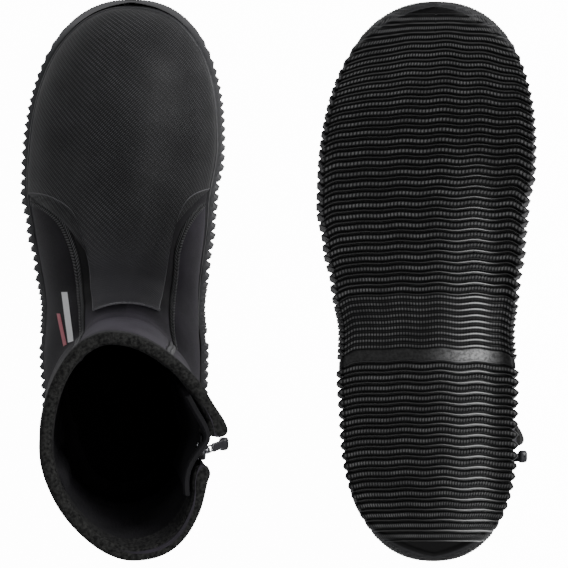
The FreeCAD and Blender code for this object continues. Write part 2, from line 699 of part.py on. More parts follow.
def slider_levels():
    """Heights over the zip's middle: the slider's upper plate, and the pull's hinge line."""
    plate_low = size("tooth_height") / 2.0 + size("slider_gap")
    plate_top = plate_low + size("slider_plate")
    return plate_low, plate_top, plate_top + 0.25 + PIN_RADIUS


def make_slider():
    """Two plates, above and below the teeth, with an arched lug on the upper one."""
    start, long = size("slider_start"), size("slider_length")
    half = size("slider_width") / 2.0
    low, top, _ = slider_levels()
    upper = zip_box("slider_upper", (start, start + long), (-half, half), (low, top),
                    Length="Dimensions.slider_length", Width="Dimensions.slider_width", Height="Dimensions.slider_plate")
    lips = [zip_box("slider_lip_%d" % i, (start, start + long), across, (0.65, low + 0.1))
            for i, across in enumerate(((half - 1.1, half), (-half, -half + 1.1)))]
    under = zip_box("slider_under", (start, start + long), (-half, half), (-low - 0.9, -low),
                    Length="Dimensions.slider_length", Width="Dimensions.slider_width")
    middle = start + long / 2.0
    posts = [zip_box("slider_post_%d" % i, run, (-0.9, 0.9), (top - 0.1, top + LUG_HIGH))
             for i, run in enumerate(((middle - 3.6, middle - 2.0), (middle + 2.0, middle + 3.6)))]
    bar = zip_box("slider_bar", (middle - 3.6, middle + 3.6), (-0.9, 0.9), (top + LUG_HIGH - 1.1, top + LUG_HIGH))
    shell = fuse("slider_shell", upper, bar, *(lips + posts))
    return fuse("zip_slider", shell, under)


def make_pull():
    """A wire link hinged under the lug, and the moulded tab that is fixed to the link's outer end."""
    middle = size("slider_start") + size("slider_length") / 2.0
    level = slider_levels()[2]
    low, high = level - PIN_RADIUS, level + PIN_RADIUS
    pin = zip_box("link_pin", (middle - PIN_RADIUS, middle + PIN_RADIUS), (-2.4, 2.4), (low, high))
    arms = [zip_box("link_arm_%d" % i, (middle - PIN_RADIUS, middle + 9.0), across, (low, high))
            for i, across in enumerate(((1.4, 2.4), (-2.4, -1.4)))]
    end = zip_box("link_end", (middle + 8.0, middle + 9.0), (-2.4, 2.4), (low, high))
    link = fuse("pull_link", pin, end, *arms)
    tab = zip_box("tab_plate", (middle + 9.05, middle + 27.0), (-2.4, 2.4), (level - 1.3, level + 1.3))
    knob = zip_box("tab_knob", (middle + 26.0, middle + 31.0), (-3.5, 3.5), (level - 2.3, level + 2.3))
    grip = fuse("pull_tab", tab, knob)
    pivot = zip_placement().multVec(Vector(middle, 0, level))
    turn = Rotation(ACROSS, -size("pull_tilt"))
    for piece in (link, grip):
        piece.Placement = Placement(pivot - turn.multVec(pivot), turn)
    return [link, grip]


# ---------------------------------------------------------------- the pair


def make_skins():
    """The upper's outside, moved in or out to every layer's faces."""
    gap, wool, lining = size("skin_gap"), size("neoprene"), size("lining")
    inside = -wool - gap - lining
    return {
        "out": skin("skin_out", 0.0),
        "neoprene_in": skin("skin_neoprene_in", -wool),
        "lining_out": skin("skin_lining_out", -wool - gap),
        "lining_in": skin("skin_lining_in", inside),
        "binding_core": skin("skin_binding_core", inside - gap),
        "binding_in": skin("skin_binding_in", inside - gap - size("binding_thickness")),
        "binding_out": skin("skin_binding_out", gap + size("binding_thickness")),
        "gusset_out": skin("skin_gusset_out", inside - size("gusset_gap"), 0.0),
        "gusset_in": skin("skin_gusset_in", inside - size("gusset_gap") - size("gusset"), 0.0),
        "insole": skin("skin_insole", inside - 0.3, 0.0),
        "guard_in": skin("skin_guard_in", gap),
        "seam_out": skin("skin_seam_out", gap + size("seam_thickness")),
        "guard_out": skin("skin_guard_out", gap + size("guard_thickness")),
        "rand_out": skin("skin_rand_out", gap + size("rand_thickness")),
    }


def make_boot():
    """Every piece of one boot, in the left boot's own frame."""
    skins = make_skins()
    front, heel, outer_half, slot = make_zones()
    pieces = [make_outsole()]
    pieces += make_soles(skins)
    pieces += make_upper(front, heel, outer_half, slot, skins)
    guard_layer, guard_top, shells = make_shells(slot, skins)
    pieces += shells
    pieces += make_seams(guard_top, outer_half, skins)
    pieces.append(make_stripes(outer_half, skins))
    pieces += [make_tape("zip_tape_front", 1), make_tape("zip_tape_rear", -1)]
    pieces += [make_teeth("zip_teeth_front", 1), make_teeth("zip_teeth_rear", -1)]
    pieces += make_stops()
    pieces.append(make_slider())
    pieces += make_pull()
    doc.recompute()
    return pieces


def stand_left(piece):
    """Moves a piece to the left boot's place and names it for the left boot."""
    name = piece.Label
    piece.Label = "left_" + name
    turn = piece.Placement.Rotation
    piece.Placement = Placement(piece.Placement.Base + LEFT_PLACE, turn)
    return name


def stand_right(piece, name):
    """The same piece mirrored top to bottom, at the right boot's place."""
    made = doc.addObject("Part::Mirroring", "right_" + name)
    made.Source = piece
    made.Base = Vector(0, 0, size("boot_height") / 2.0)
    made.Normal = Vector(0, 0, 1)
    made.Placement.Base = Vector(size("boot_spacing"), -size("boot_stagger"), 0)
    return made


LEFT_PLACE = Vector(size("left_axis_x"), size("left_heel_y"), 0)

pieces = make_boot()
nodes = []
for piece in pieces:
    name = stand_left(piece)
    nodes += [piece, stand_right(piece, name)]
doc.recompute()

for made in doc.Objects:
    if {"Invalid", "Error"} & set(made.State):
        raise SystemExit("%s did not build: %s" % (made.Label, made.State))
for node in nodes:
    if node.Shape.isNull() or not node.Shape.isValid() or node.Shape.Volume < 1.0:
        raise SystemExit("%s is empty or not valid" % node.Label)
os.makedirs("parts", exist_ok=True)
for node in nodes:
    node.Shape.exportStep("parts/%s.step" % node.Label)
print("pieces: %d" % len(nodes))
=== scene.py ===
import bpy
import math
import numpy as np
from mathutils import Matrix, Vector
from mathutils.bvhtree import BVHTree


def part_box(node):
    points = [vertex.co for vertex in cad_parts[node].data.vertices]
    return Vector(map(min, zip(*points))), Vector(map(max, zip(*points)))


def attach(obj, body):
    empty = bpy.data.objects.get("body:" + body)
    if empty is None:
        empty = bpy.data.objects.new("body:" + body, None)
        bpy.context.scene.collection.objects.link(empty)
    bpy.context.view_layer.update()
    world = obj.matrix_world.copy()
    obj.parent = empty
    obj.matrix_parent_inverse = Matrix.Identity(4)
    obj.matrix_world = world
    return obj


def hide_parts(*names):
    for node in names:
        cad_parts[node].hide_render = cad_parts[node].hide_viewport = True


# A pair of zipped neoprene boots. Shapes are worked out in millimetres in the left boot's own frame
# (x towards the inner side of the foot, y from the back of the heel to the toe, z up from the floor)
# and then put in the row's frame. The right boot is the left one turned over, by mirroring in z.

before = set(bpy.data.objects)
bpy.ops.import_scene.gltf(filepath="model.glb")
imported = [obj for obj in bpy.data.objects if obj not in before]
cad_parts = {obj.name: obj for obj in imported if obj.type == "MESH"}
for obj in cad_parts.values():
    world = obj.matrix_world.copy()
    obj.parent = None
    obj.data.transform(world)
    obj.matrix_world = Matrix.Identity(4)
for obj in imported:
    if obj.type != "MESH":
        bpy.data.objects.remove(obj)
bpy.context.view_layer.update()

MM = 0.001
HEIGHT = 230.0      # of the boot, floor to cuff
SOLE_LENGTH = 295.0
SOLE_AXIS = 0.35    # the sole's middle, from the boot's own x = 0, to its outer side


def boot_place(side):
    """Where a boot's own origin is in the row's frame, read from its outsole."""
    low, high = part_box(side + "_outsole")
    return np.array([(low.x + high.x) / 2 / MM + SOLE_AXIS, low.y / MM, 0.0])


SIDES = ("left", "right")
PLACES = {side: boot_place(side) for side in SIDES}

# ---------------------------------------------------------------- the upper's shape

HEEL_CAP_Y, TOE_CAP_Y = 70.0, 205.0
CAP_POWER = 2.3
# y, centre line x, half width of the sole
PLAN = np.array([
    (70.0, 0.4, 46.3),
    (96.0, 0.0, 47.2),
    (120.0, -0.6, 45.8),
    (145.0, -1.2, 49.2),
    (165.0, -1.8, 52.6),
    (186.0, -2.6, 55.2),
    (205.0, -0.6, 57.0),
])
HEEL_TIP_X, TOE_TIP_X = 3.0, 4.6
UPPER_INSET = 4.7
FAN_Y, FAN_Z = 150.0, 140.0
TOE_SHARES = (0.9998, 0.985, 0.93, 0.84, 0.68, 0.44, 0.2, 0.0)
TOE_TOP, WIDEST_Z, UPPER_BOTTOM = 70.0, 25.0, 8.0
TOE_TOP_POWER, TOE_BOTTOM_POWER = 2.2, 5.0
# y, top height, widest height, power of the lower half
INSTEP = ((186.0, 77.0, 26.0, 4.0), (168.0, 84.5, 27.0, 3.8), (150.0, 93.5, 28.0, 3.5))
# degrees from straight down, near end, far end and widest place along the ray, half widths, power
FAN = (
    (16.0, 43.0, 137.3, 117.0, 42.0, 41.0, 3.3),
    (30.0, 40.0, 152.4, 125.0, 42.0, 41.6, 3.0),
    (40.0, 38.5, 170.4, 134.0, 41.0, 41.2, 2.7),
    (48.0, 38.0, 184.2, 137.0, 38.4, 41.0, 2.36),
    (57.0, 37.0, 171.8, 128.0, 37.7, 40.8, 2.2),
    (68.0, 35.5, 155.2, 117.0, 37.4, 41.2, 2.1),
    (80.0, 34.5, 143.5, 102.0, 37.5, 42.2, 2.0),
)
# z, front y, back y, widest y, half widths
SHAFT = (
    (140.0, 115.8, 9.0, 58.0, 37.2, 43.6),
    (160.0, 114.0, 6.5, 55.0, 37.1, 45.2),
    (180.0, 112.4, 3.0, 53.0, 37.2, 46.7),
    (205.0, 110.0, -4.0, 50.0, 37.3, 48.6),
    (230.0, 108.0, -12.0, 48.0, 37.5, 50.5),
    (245.0, 106.8, -17.0, 47.0, 37.6, 51.6),
)
SPANS = 28          # curve spans round a section
TOP_V = 7.0         # the front or top middle of every section, a quarter of the way round
# how far the shaft flares out in front of the zip, and from where
FLARE, FLARE_START_Z, FLARE_FRONT_Y = 10.5, 150.0, 102.0
# how far the shaft's back leans to the inner side, and from where
LEAN, LEAN_START_Z, LEAN_START_Y, LEAN_REACH = 9.5, 110.0, 45.0, 48.0
# the zip's ends on the upper's inner side, and the width of its opening
ZIP_TOP = np.array([50.0, 45.0, 228.0])
ZIP_FOOT = np.array([38.8, 60.0, 66.0])
ZIP_SLOT = 16.0


def unit(v):
    """Vectors scaled to length 1."""
    v = np.asarray(v, float)
    return v / np.maximum(np.linalg.norm(v, axis=-1, keepdims=True), 1e-12)


ALONG = unit(ZIP_FOOT - ZIP_TOP)
ACROSS = unit(np.cross([1.0, 0.0, 0.0], ALONG))
ACROSS = ACROSS if ACROSS[1] > 0 else -ACROSS
OUT = np.cross(ALONG, ACROSS)
OUT = OUT if OUT[0] > 0 else -OUT
ZIP_RUN = float(np.linalg.norm(ZIP_FOOT - ZIP_TOP))


def cap(share, power):
    """A rounded end's half width, 1 at its start and 0 at its tip."""
    return (1.0 - np.clip(share, 0.0, 1.0) ** power) ** (1.0 / power)


def smooth(t):
    """Rises softly from 0 at t = 0 to 1 at t = 1."""
    t = np.clip(t, 0.0, 1.0)
    return t * t * (3.0 - 2.0 * t)


def plan_centre_half(y):
    """The sole's centre line and half width between the caps."""
    i = np.clip(np.searchsorted(PLAN[:, 0], y) - 1, 0, len(PLAN) - 2)
    t = smooth((y - PLAN[i, 0]) / (PLAN[i + 1, 0] - PLAN[i, 0]))
    return [PLAN[i, c] + (PLAN[i + 1, c] - PLAN[i, c]) * t for c in (1, 2)]


def plan_x(side, y, inset):
    """The sole's plan, moved in by inset, at y. Side is -1 outer or 1 inner."""
    if y > TOE_CAP_Y:
        share = min((y - TOE_CAP_Y) / (SOLE_LENGTH - TOE_CAP_Y - inset), 1.0)
        centre = PLAN[-1, 1] + (TOE_TIP_X - PLAN[-1, 1]) * share
        half = (PLAN[-1, 2] - inset) * cap(share, CAP_POWER)
    elif y < HEEL_CAP_Y:
        share = min((HEEL_CAP_Y - y) / (HEEL_CAP_Y - inset), 1.0)
        centre = PLAN[0, 1] + (HEEL_TIP_X - PLAN[0, 1]) * share
        half = (PLAN[0, 2] - inset) * cap(share, CAP_POWER)
    else:
        centre, half = plan_centre_half(y)
        half -= inset
    return centre + side * half


def stations():
    """The upper's sections from the toe to the cuff.

    Each is a ray's origin (y, z) and direction (y, z), the near, far and widest places along it, the
    outer and inner half widths, and the powers of its near and far rounding.
    """
    found = []
    for share in TOE_SHARES:
        y = TOE_CAP_Y + (SOLE_LENGTH - TOE_CAP_Y - UPPER_INSET) * share
        top = WIDEST_Z + (TOE_TOP - WIDEST_Z) * cap(share, TOE_TOP_POWER)
        low = WIDEST_Z - (WIDEST_Z - UPPER_BOTTOM) * cap(share, TOE_BOTTOM_POWER)
        found.append((y, FAN_Z, 0.0, -1.0, FAN_Z - top, FAN_Z - low, FAN_Z - WIDEST_Z,
                      -plan_x(-1, y, UPPER_INSET), plan_x(1, y, UPPER_INSET), 2.2, 4.0 - 1.8 * share))
    for y, top, widest, power in INSTEP:
        found.append((y, FAN_Z, 0.0, -1.0, FAN_Z - top, FAN_Z - UPPER_BOTTOM, FAN_Z - widest,
                      -plan_x(-1, y, UPPER_INSET), plan_x(1, y, UPPER_INSET), 2.1, power))
    for degrees, near, far, widest, outer, inner, power in FAN:
        turn = math.radians(degrees)
        ray = (-math.sin(turn), -math.cos(turn))
        found.append((FAN_Y, FAN_Z, *ray, near, far, widest, outer, inner, 2.0, power))
    for z, front, back, widest, outer, inner in SHAFT:
        reach = (FAN_Y - front, FAN_Y - back, FAN_Y - widest)
        found.append((FAN_Y, z, -1.0, 0.0, *reach, outer, inner, 2.0, 2.0))
    return found


def zip_y(z):
    """Where the zip's line lies at height z."""
    return ZIP_TOP[1] + (ZIP_FOOT[1] - ZIP_TOP[1]) * (ZIP_TOP[2] - z) / (ZIP_TOP[2] - ZIP_FOOT[2])


def lean(points):
    """How far the shaft's back leans to the inner side, towards its open top."""
    rise = np.clip((points[:, 2] - LEAN_START_Z) / (HEIGHT - LEAN_START_Z), 0, None)
    back = np.clip((LEAN_START_Y - points[:, 1]) / LEAN_REACH, 0, None)
    return LEAN * rise ** 1.4 * back ** 1.5


def section(station, flared):
    """One section's knots. Knot 0 is the widest place on the inner side, 7 the front, 14 the outer side."""
    oy, oz, dy, dz, near, far, widest, outer, inner, near_power, far_power = station
    turn = -2.0 * np.pi * np.arange(SPANS) / SPANS
    across, along = np.cos(turn), np.sin(turn)
    power = np.where(along > 1e-9, far_power, near_power)
    half = np.where(across > 0, inner, outer)
    span = np.where(along > 0, far - widest, widest - near)
    x = np.sign(across) * np.abs(across) ** (2.0 / power) * half
    r = widest + np.sign(along) * np.abs(along) ** (2.0 / power) * span
    points = np.stack([x, oy + dy * r, oz + dz * r], -1)
    if flared:
        rise = np.clip((points[:, 2] - FLARE_START_Z) / (HEIGHT - FLARE_START_Z), 0, None)
        mid = zip_y(points[:, 2])
        front = (FLARE_FRONT_Y - points[:, 1]) / (FLARE_FRONT_Y - mid - ZIP_SLOT / 2)
        behind = (points[:, 1] - mid + ZIP_SLOT / 2) / ZIP_SLOT
        out = FLARE * rise ** 1.5 * np.clip(front, 0, 1) * np.clip(behind, 0, 1)
        points[:, 0] += np.where(points[:, 0] > 0, out, 0.0)
    points[:, 0] += lean(points)
    return points


def spline_bends(values, steps, closed):
    """Second derivatives of the cubic spline through values, whose knots lie steps apart."""
    n = len(values)
    a = np.zeros((n, n))
    b = np.zeros((n, values.shape[1]))
    for i in range(n):
        if not closed and i in (0, n - 1):
            a[i, i] = 1.0
            continue
        before, after = steps[i - 1], steps[i]
        low, high = (i - 1) % n, (i + 1) % n
        a[i, low] += before
        a[i, i] += 2.0 * (before + after)
        a[i, high] += after
        b[i] = 6.0 * ((values[high] - values[i]) / after - (values[i] - values[low]) / before)
    return np.linalg.solve(a, b)


def spline_at(a, b, bend_a, bend_b, t, step=1.0):
    """The spline's value a share t of the way between two knots that lie step apart."""
    t = t[..., None]
    step = np.asarray(step)[..., None]
    s = 1.0 - t
    return s * a + t * b + ((s ** 3 - s) * bend_a + (t ** 3 - t) * bend_b) * step ** 2 / 6.0


class Skin:
    """The upper's outside as a surface: u runs in millimetres from toe to cuff, v round each section."""

    def __init__(self):
        rings = np.array([section(s, True) for s in stations()])
        plain = np.array([section(s, False) for s in stations()])
        gaps = np.linalg.norm(np.diff(plain, axis=0), axis=-1).mean(1)
        self.places = np.concatenate([[0.0], np.cumsum(gaps)])
        self.flat = rings.reshape(len(rings), -1)
        self.bends = spline_bends(self.flat, gaps, False)

    def knots(self, u):
        """The knots of the sections at u."""
        u = np.atleast_1d(np.asarray(u, float))
        i = np.clip(np.searchsorted(self.places, u) - 1, 0, len(self.places) - 2)
        step = self.places[i + 1] - self.places[i]
        t = (u - self.places[i]) / step
        flat, bends = self.flat, self.bends
        rows = spline_at(flat[i], flat[i + 1], bends[i], bends[i + 1], t, step)
        return rows.reshape(len(u), SPANS, 3)

    def at(self, u, v):
        """Points for a row of u (n) and a grid of v (n, m)."""
        knots = self.knots(u)
        n = len(knots)
        rolled = knots.transpose(1, 0, 2).reshape(SPANS, -1)
        bends = spline_bends(rolled, np.ones(SPANS), True).reshape(SPANS, n, 3).transpose(1, 0, 2)
        v = np.asarray(v, float)
        i = np.floor(v).astype(int)
        t = v - i
        i = i % SPANS
        j = (i + 1) % SPANS
        rows = np.arange(n)[:, None]
        return spline_at(knots[rows, i], knots[rows, j], bends[rows, i], bends[rows, j], t)

    def with_normals(self, u, v):
        """Points and outward normals."""
        u = np.asarray(u, float)
        step = 0.4
        p = self.at(u, v)
        du = self.at(np.minimum(u + step, self.places[-1]), v) - self.at(np.maximum(u - step, 0.0), v)
        dv = self.at(u, v + 0.05) - self.at(u, v - 0.05)
        return p, unit(np.cross(dv, du))


SKIN = Skin()
TOP_U = float(SKIN.places[-1])

# ---------------------------------------------------------------- seam lines on the upper

# Seams seen from above: x, y, from the sole's edge over the instep and up the shaft's front
OUTER_SEAM = (
    (-78.0, 184.0), (-60.0, 182.5), (-51.0, 181.0), (-44.0, 177.0), (-40.0, 174.5),
    (-34.0, 169.0), (-29.5, 160.0), (-26.5, 152.0), (-24.0, 141.0), (-22.5, 131.0),
    (-21.5, 118.8), (-21.0, 108.0), (-22.0, 64.0),
)
INNER_SEAM = (
    (76.0, 188.0), (60.0, 186.0), (51.3, 184.0), (48.0, 181.0), (42.8, 176.0),
    (39.2, 170.7), (36.3, 165.5), (34.0, 159.4), (31.8, 151.9), (30.8, 141.0),
    (29.3, 131.0), (28.0, 118.8), (28.5, 107.0), (31.0, 95.0), (33.0, 64.0),
)
# The seam behind the outer ankle, seen from the side: y, z
REAR_SEAM = ((24.0, 236.0), (27.0, 200.0), (33.0, 150.0), (42.0, 100.0), (50.0, 60.0), (53.0, 0.0))
# The guard over the toe and instep, seen from above: x, y
GUARD_OUTER = (
    (-80.0, 188.0), (-51.5, 186.3), (-41.7, 184.7), (-34.8, 181.4), (-28.1, 177.3), (-24.2, 172.0),
    (-22.0, 164.0), (-19.4, 155.5), (-16.6, 143.4), (-15.7, 131.0), (-13.9, 118.8),
)
GUARD_INNER = (
    (20.7, 119.3), (24.0, 136.0), (25.8, 146.8), (27.3, 156.9), (29.7, 168.8), (31.6, 174.6),
    (34.1, 180.8), (38.7, 185.1), (44.0, 187.6), (52.0, 190.3), (80.0, 192.0),
)
# The upper edge of the guard over the heel, seen from the side: y, z
HEEL_GUARD = ((-30.0, 82.0), (12.0, 80.0), (27.0, 72.0), (40.0, 56.0), (46.0, 36.0))
PANEL_LOW_Z = 24.0                     # the front panel ends here, inside the sole's wall
LOW_V_OUT, LOW_V_IN = 18.5, -4.5      # where the panels end under the sole's edge
LOW_V_SLOT = -6.9                      # the furthest back that the zip's rear edge is looked for
REAR_START_V, REAR_END_V = 13.0, 20.9  # between which the rear seam is looked for
FINE = 24                              # samples per span when a line is looked for


def line_function(points, key):
    """The eased line through points as a function of coordinate key, giving the other one."""
    points = np.array(points)
    for _ in range(3):
        near, far = points[:-1] * 0.75 + points[1:] * 0.25, points[:-1] * 0.25 + points[1:] * 0.75
        cut = np.stack([near, far], 1).reshape(-1, 2)
        points = np.concatenate([points[:1], cut[1:-1], points[-1:]])
    points = points[np.argsort(points[:, key])]
    return lambda q: np.interp(q, points[:, key], points[:, 1 - key])


outer_seam_x = line_function(OUTER_SEAM, 1)
inner_seam_x = line_function(INNER_SEAM, 1)
rear_seam_y = line_function(REAR_SEAM, 1)
guard_outer_x = line_function(GUARD_OUTER, 1)
guard_inner_x = line_function(GUARD_INNER, 1)
heel_guard_z = line_function(HEEL_GUARD, 0)


def first_crossing(values, grid, fallback):
    """For each row, where values first falls through zero along grid, or fallback."""
    found = np.full(len(values), float(fallback))
    falls = (values[:, :-1] > 0) & (values[:, 1:] <= 0)
    hit = falls.argmax(1)
    rows = np.nonzero(falls.any(1))[0]
    a, b = values[rows, hit[rows]], values[rows, hit[rows] + 1]
    t = a / np.maximum(a - b, 1e-9)
    found[rows] = grid[hit[rows]] + (grid[hit[rows] + 1] - grid[hit[rows]]) * t
    return found


def line_v(u, start, end, inside, low_z=None):
    """Where each section u crosses a line: inside(points) is positive from start until the line is met."""
    grid = np.linspace(start, end, int(abs(end - start) * FINE) + 1)
    points = SKIN.at(u, np.tile(grid, (len(u), 1)))
    values = inside(points)
    if low_z is not None:
        values = np.minimum(values, points[..., 2] - low_z)
        values[:, 0] = np.maximum(values[:, 0], 1e-3)
    return first_crossing(values, grid, end)


def zip_run(p):
    """How far down the zip a point lies."""
    return (p - ZIP_TOP) @ ALONG


def zip_across(p):
    """How far in front of the zip's line a point lies."""
    return (p - ZIP_TOP) @ ACROSS


def slot_half(p):
    """Half the zip opening's width at a point's height: it closes at the zip's foot."""
    return ZIP_SLOT / 2 * np.sqrt(np.clip((ZIP_RUN + 1.0 - zip_run(p)) / 9.0, 0.0, 1.0))


def outer_seam_v(u):
    return line_v(u, TOP_V, LOW_V_OUT, lambda p: p[..., 0] - outer_seam_x(p[..., 1]), PANEL_LOW_Z)


def inner_seam_v(u):
    return line_v(u, TOP_V, LOW_V_IN, lambda p: inner_seam_x(p[..., 1]) - p[..., 0], PANEL_LOW_Z)


def rear_seam_v(u):
    return line_v(u, REAR_START_V, REAR_END_V, lambda p: p[..., 1] - rear_seam_y(p[..., 2]))


def slot_front_v(u):
    return line_v(u, TOP_V, LOW_V_IN, lambda p: zip_across(p) - slot_half(p))


def slot_rear_v(u):
    return line_v(u, TOP_V, LOW_V_SLOT, lambda p: zip_across(p) + slot_half(p)) + SPANS


SHAFT_U = float(SKIN.places[-len(SHAFT)])
SHAFT_PLACES = np.linspace(SHAFT_U, TOP_U, 200)
SHAFT_HEIGHTS = SKIN.at(SHAFT_PLACES, np.full((200, 1), 2.0 * TOP_V))[:, 0, 2]


def u_at_height(z):
    """The section at a height on the shaft."""
    return np.interp(z, SHAFT_HEIGHTS, SHAFT_PLACES)


# ---------------------------------------------------------------- making meshes


def new_object(name, points, faces, material, sharp=40.0):
    """A smooth-shaded mesh from points in millimetres in the row's frame."""
    mesh = bpy.data.meshes.new(name)
    points = np.ascontiguousarray(points, np.float32) * MM
    faces = np.asarray(faces, np.int32)
    mesh.vertices.add(len(points))
    mesh.vertices.foreach_set("co", points.ravel())
    count, corners = faces.shape
    mesh.loops.add(count * corners)
    mesh.loops.foreach_set("vertex_index", faces.ravel())
    mesh.polygons.add(count)
    mesh.polygons.foreach_set("loop_start", np.arange(0, count * corners, corners, dtype=np.int32))
    mesh.polygons.foreach_set("loop_total", np.full(count, corners, np.int32))
    mesh.update(calc_edges=True)
    mesh.polygons.foreach_set("use_smooth", np.ones(count, bool))
    mesh.set_sharp_from_angle(angle=math.radians(sharp))
    obj = bpy.data.objects.new(name, mesh)
    bpy.context.scene.collection.objects.link(obj)
    mesh.materials.append(material)
    return obj


def to_row(points, side):
    """Points from the left boot's own frame to the row's frame, on either boot."""
    points = np.asarray(points, float).reshape(-1, 3).copy()
    if side == "right":
        points[:, 2] = HEIGHT - points[:, 2]
    return points + PLACES[side]


def add_pair(name, points, faces, slot, body="boot", node=None, sharp=40.0, layers=None, material=None):
    """The piece on both boots. The right one is mirrored, so its faces are turned round.

    node is the CAD node that the piece stands for, where its name differs. layers are values at the
    points, for the material to read.
    """
    faces = np.asarray(faces)
    for side in SIDES:
        turned = faces if side == "left" else faces[:, ::-1]
        obj = new_object(side + "_" + name, to_row(points, side), turned, MATERIALS[material or slot], sharp)
        for layer, values in (layers or {}).items():
            attribute = obj.data.attributes.new(layer, "FLOAT", "POINT")
            attribute.data.foreach_set("value", np.asarray(values, np.float32).ravel())
        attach(obj, side + "_" + body)
        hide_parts(side + "_" + (node or name))


def grid_faces(rows, columns, start=0, around=False, flip=False):
    """Quads over a grid of points, row by row. around joins the last column to the first."""
    index = np.arange(rows * columns).reshape(rows, columns) + start
    across = np.concatenate([index, index[:, :1]], 1) if around else index
    a, b, c, d = across[:-1, :-1], across[:-1, 1:], across[1:, 1:], across[1:, :-1]
    quads = np.stack([a, b, c, d], -1).reshape(-1, 4)
    return quads[:, ::-1] if flip else quads


def slab_mesh(outer, inner):
    """A closed sheet between two grids of points."""
    rows, columns = outer.shape[:2]
    size = rows * columns
    index = np.arange(size).reshape(rows, columns)
    faces = [grid_faces(rows, columns), grid_faces(rows, columns, size, flip=True)]
    edges = (index[0], index[:, -1], index[-1][::-1], index[::-1, 0])
    for edge in edges:
        a, b = edge[:-1], edge[1:]
        faces.append(np.stack([b, a, a + size, b + size], -1))
    points = np.concatenate([outer.reshape(-1, 3), inner.reshape(-1, 3)])
    return points, np.concatenate(faces)


def run_along(points):
    """How far along a line each of its points lies."""
    return np.concatenate([[0.0], np.cumsum(np.linalg.norm(np.diff(points, axis=0), axis=1))])


def between(u, a, b, s):
    """A grid of u and v: a row for each u, which runs from a to b at the shares s."""
    return np.tile(u[:, None], (1, len(s))), a[:, None] + (b - a)[:, None] * s


def outward(points, faces):
    """Faces turned so that a closed mesh's volume is positive."""
    a, b, c, d = (points[faces[:, i]] for i in range(4))
    volume = np.einsum("ij,ij->", a, np.cross(b, c)) + np.einsum("ij,ij->", a, np.cross(c, d))
    return faces if volume > 0 else faces[:, ::-1]


def closed(mesh):
    """A closed mesh with its faces turned outward."""
    return mesh[0], outward(*mesh)


def add_closed(name, points, faces, slot, **choices):
    """add_pair for a closed mesh whose faces may point either way."""
    add_pair(name, points, outward(points, faces), slot, **choices)


def merge(parts):
    """Several (points, faces) meshes of quads as one."""
    points, faces, count = [], [], 0
    for p, f in parts:
        p = np.asarray(p, float).reshape(-1, 3)
        points.append(p)
        faces.append(np.asarray(f) + count)
        count += len(p)
    return np.concatenate(points), np.concatenate(faces)


# ---------------------------------------------------------------- the soft skin as a fine table

U_STEP, V_STEP = 0.8, 1.0 / 14.0     # the table's steps
CLOTH_ROWS, CLOTH_COLUMNS = 90, 56
CLOTH_FRAMES = 20
CLOTH_SCALE = 10.0    # the cloth is run this much larger, where the solver is steady
CLOTH_PRESSURE = 3.0  # the stuffing inside the tube
PUFF = 1.15           # how far the foam stands out between its seams
VALLEY = 1.0          # how far a seam pulls the foam in
SOLE_GRIP_Z = 33.0    # the upper is glued to the sole below this height
OFF_LOW, OFF_HIGH = -2.0, 2.2     # the settled cloth is kept within this of the plain skin
EASE_ROUNDS = 160     # how long the bend at the instep is eased


def cloth_mesh():
    """A coarse tube of the upper, for the cloth simulation."""
    u = np.linspace(2.0, u_at_height(HEIGHT - 1.0), CLOTH_ROWS)
    v = np.linspace(0.0, SPANS, CLOTH_COLUMNS, endpoint=False)
    points, normals = SKIN.with_normals(u, np.tile(v, (CLOTH_ROWS, 1)))
    return u, v, points, normals


def settle_cloth(points):
    """Where the tube settles as stuffed cloth, held at the sole, the cuff and the zip."""
    scene = bpy.context.scene
    rows, columns = points.shape[:2]
    mesh = bpy.data.meshes.new("cloth_tube")
    faces = grid_faces(rows, columns, around=True)
    mesh.from_pydata((points.reshape(-1, 3) * MM * CLOTH_SCALE).tolist(), [], faces.tolist())
    tube = bpy.data.objects.new("cloth_tube", mesh)
    scene.collection.objects.link(tube)
    held = tube.vertex_groups.new(name="held")
    flat = points.reshape(-1, 3)
    near_zip = (np.abs(zip_across(flat)) < 11.0) & (flat[:, 0] > 0) & (zip_run(flat) < ZIP_RUN + 8.0)
    fixed = (flat[:, 2] < SOLE_GRIP_Z) | (flat[:, 2] > HEIGHT - 12.0) | near_zip
    held.add([int(i) for i in np.nonzero(fixed)[0]], 1.0, "REPLACE")
    cloth = tube.modifiers.new("cloth", "CLOTH")
    settings = cloth.settings
    settings.quality = 6
    settings.mass = 0.4
    settings.tension_stiffness = 60.0
    settings.compression_stiffness = 60.0
    settings.shear_stiffness = 20.0
    settings.bending_stiffness = 30.0
    settings.vertex_group_mass = "held"
    settings.use_pressure = True
    settings.uniform_pressure_force = CLOTH_PRESSURE
    settings.effector_weights.gravity = 0.0
    cloth.point_cache.frame_start = 1
    cloth.point_cache.frame_end = CLOTH_FRAMES
    for step in range(1, CLOTH_FRAMES + 1):
        scene.frame_set(step)
    graph = bpy.context.evaluated_depsgraph_get()
    settled = np.zeros(rows * columns * 3, np.float32)
    tube.evaluated_get(graph).data.vertices.foreach_get("co", settled)
    scene.frame_set(1)
    bpy.data.objects.remove(tube)
    return settled.reshape(points.shape).astype(float) / MM / CLOTH_SCALE


def blurred(grid, times):
    """Evens out a grid that is closed across its columns."""
    for _ in range(times):
        grid = along_rows(grid)
        grid = (np.roll(grid, 1, 1) + 2.0 * grid + np.roll(grid, -1, 1)) / 4.0
    return grid


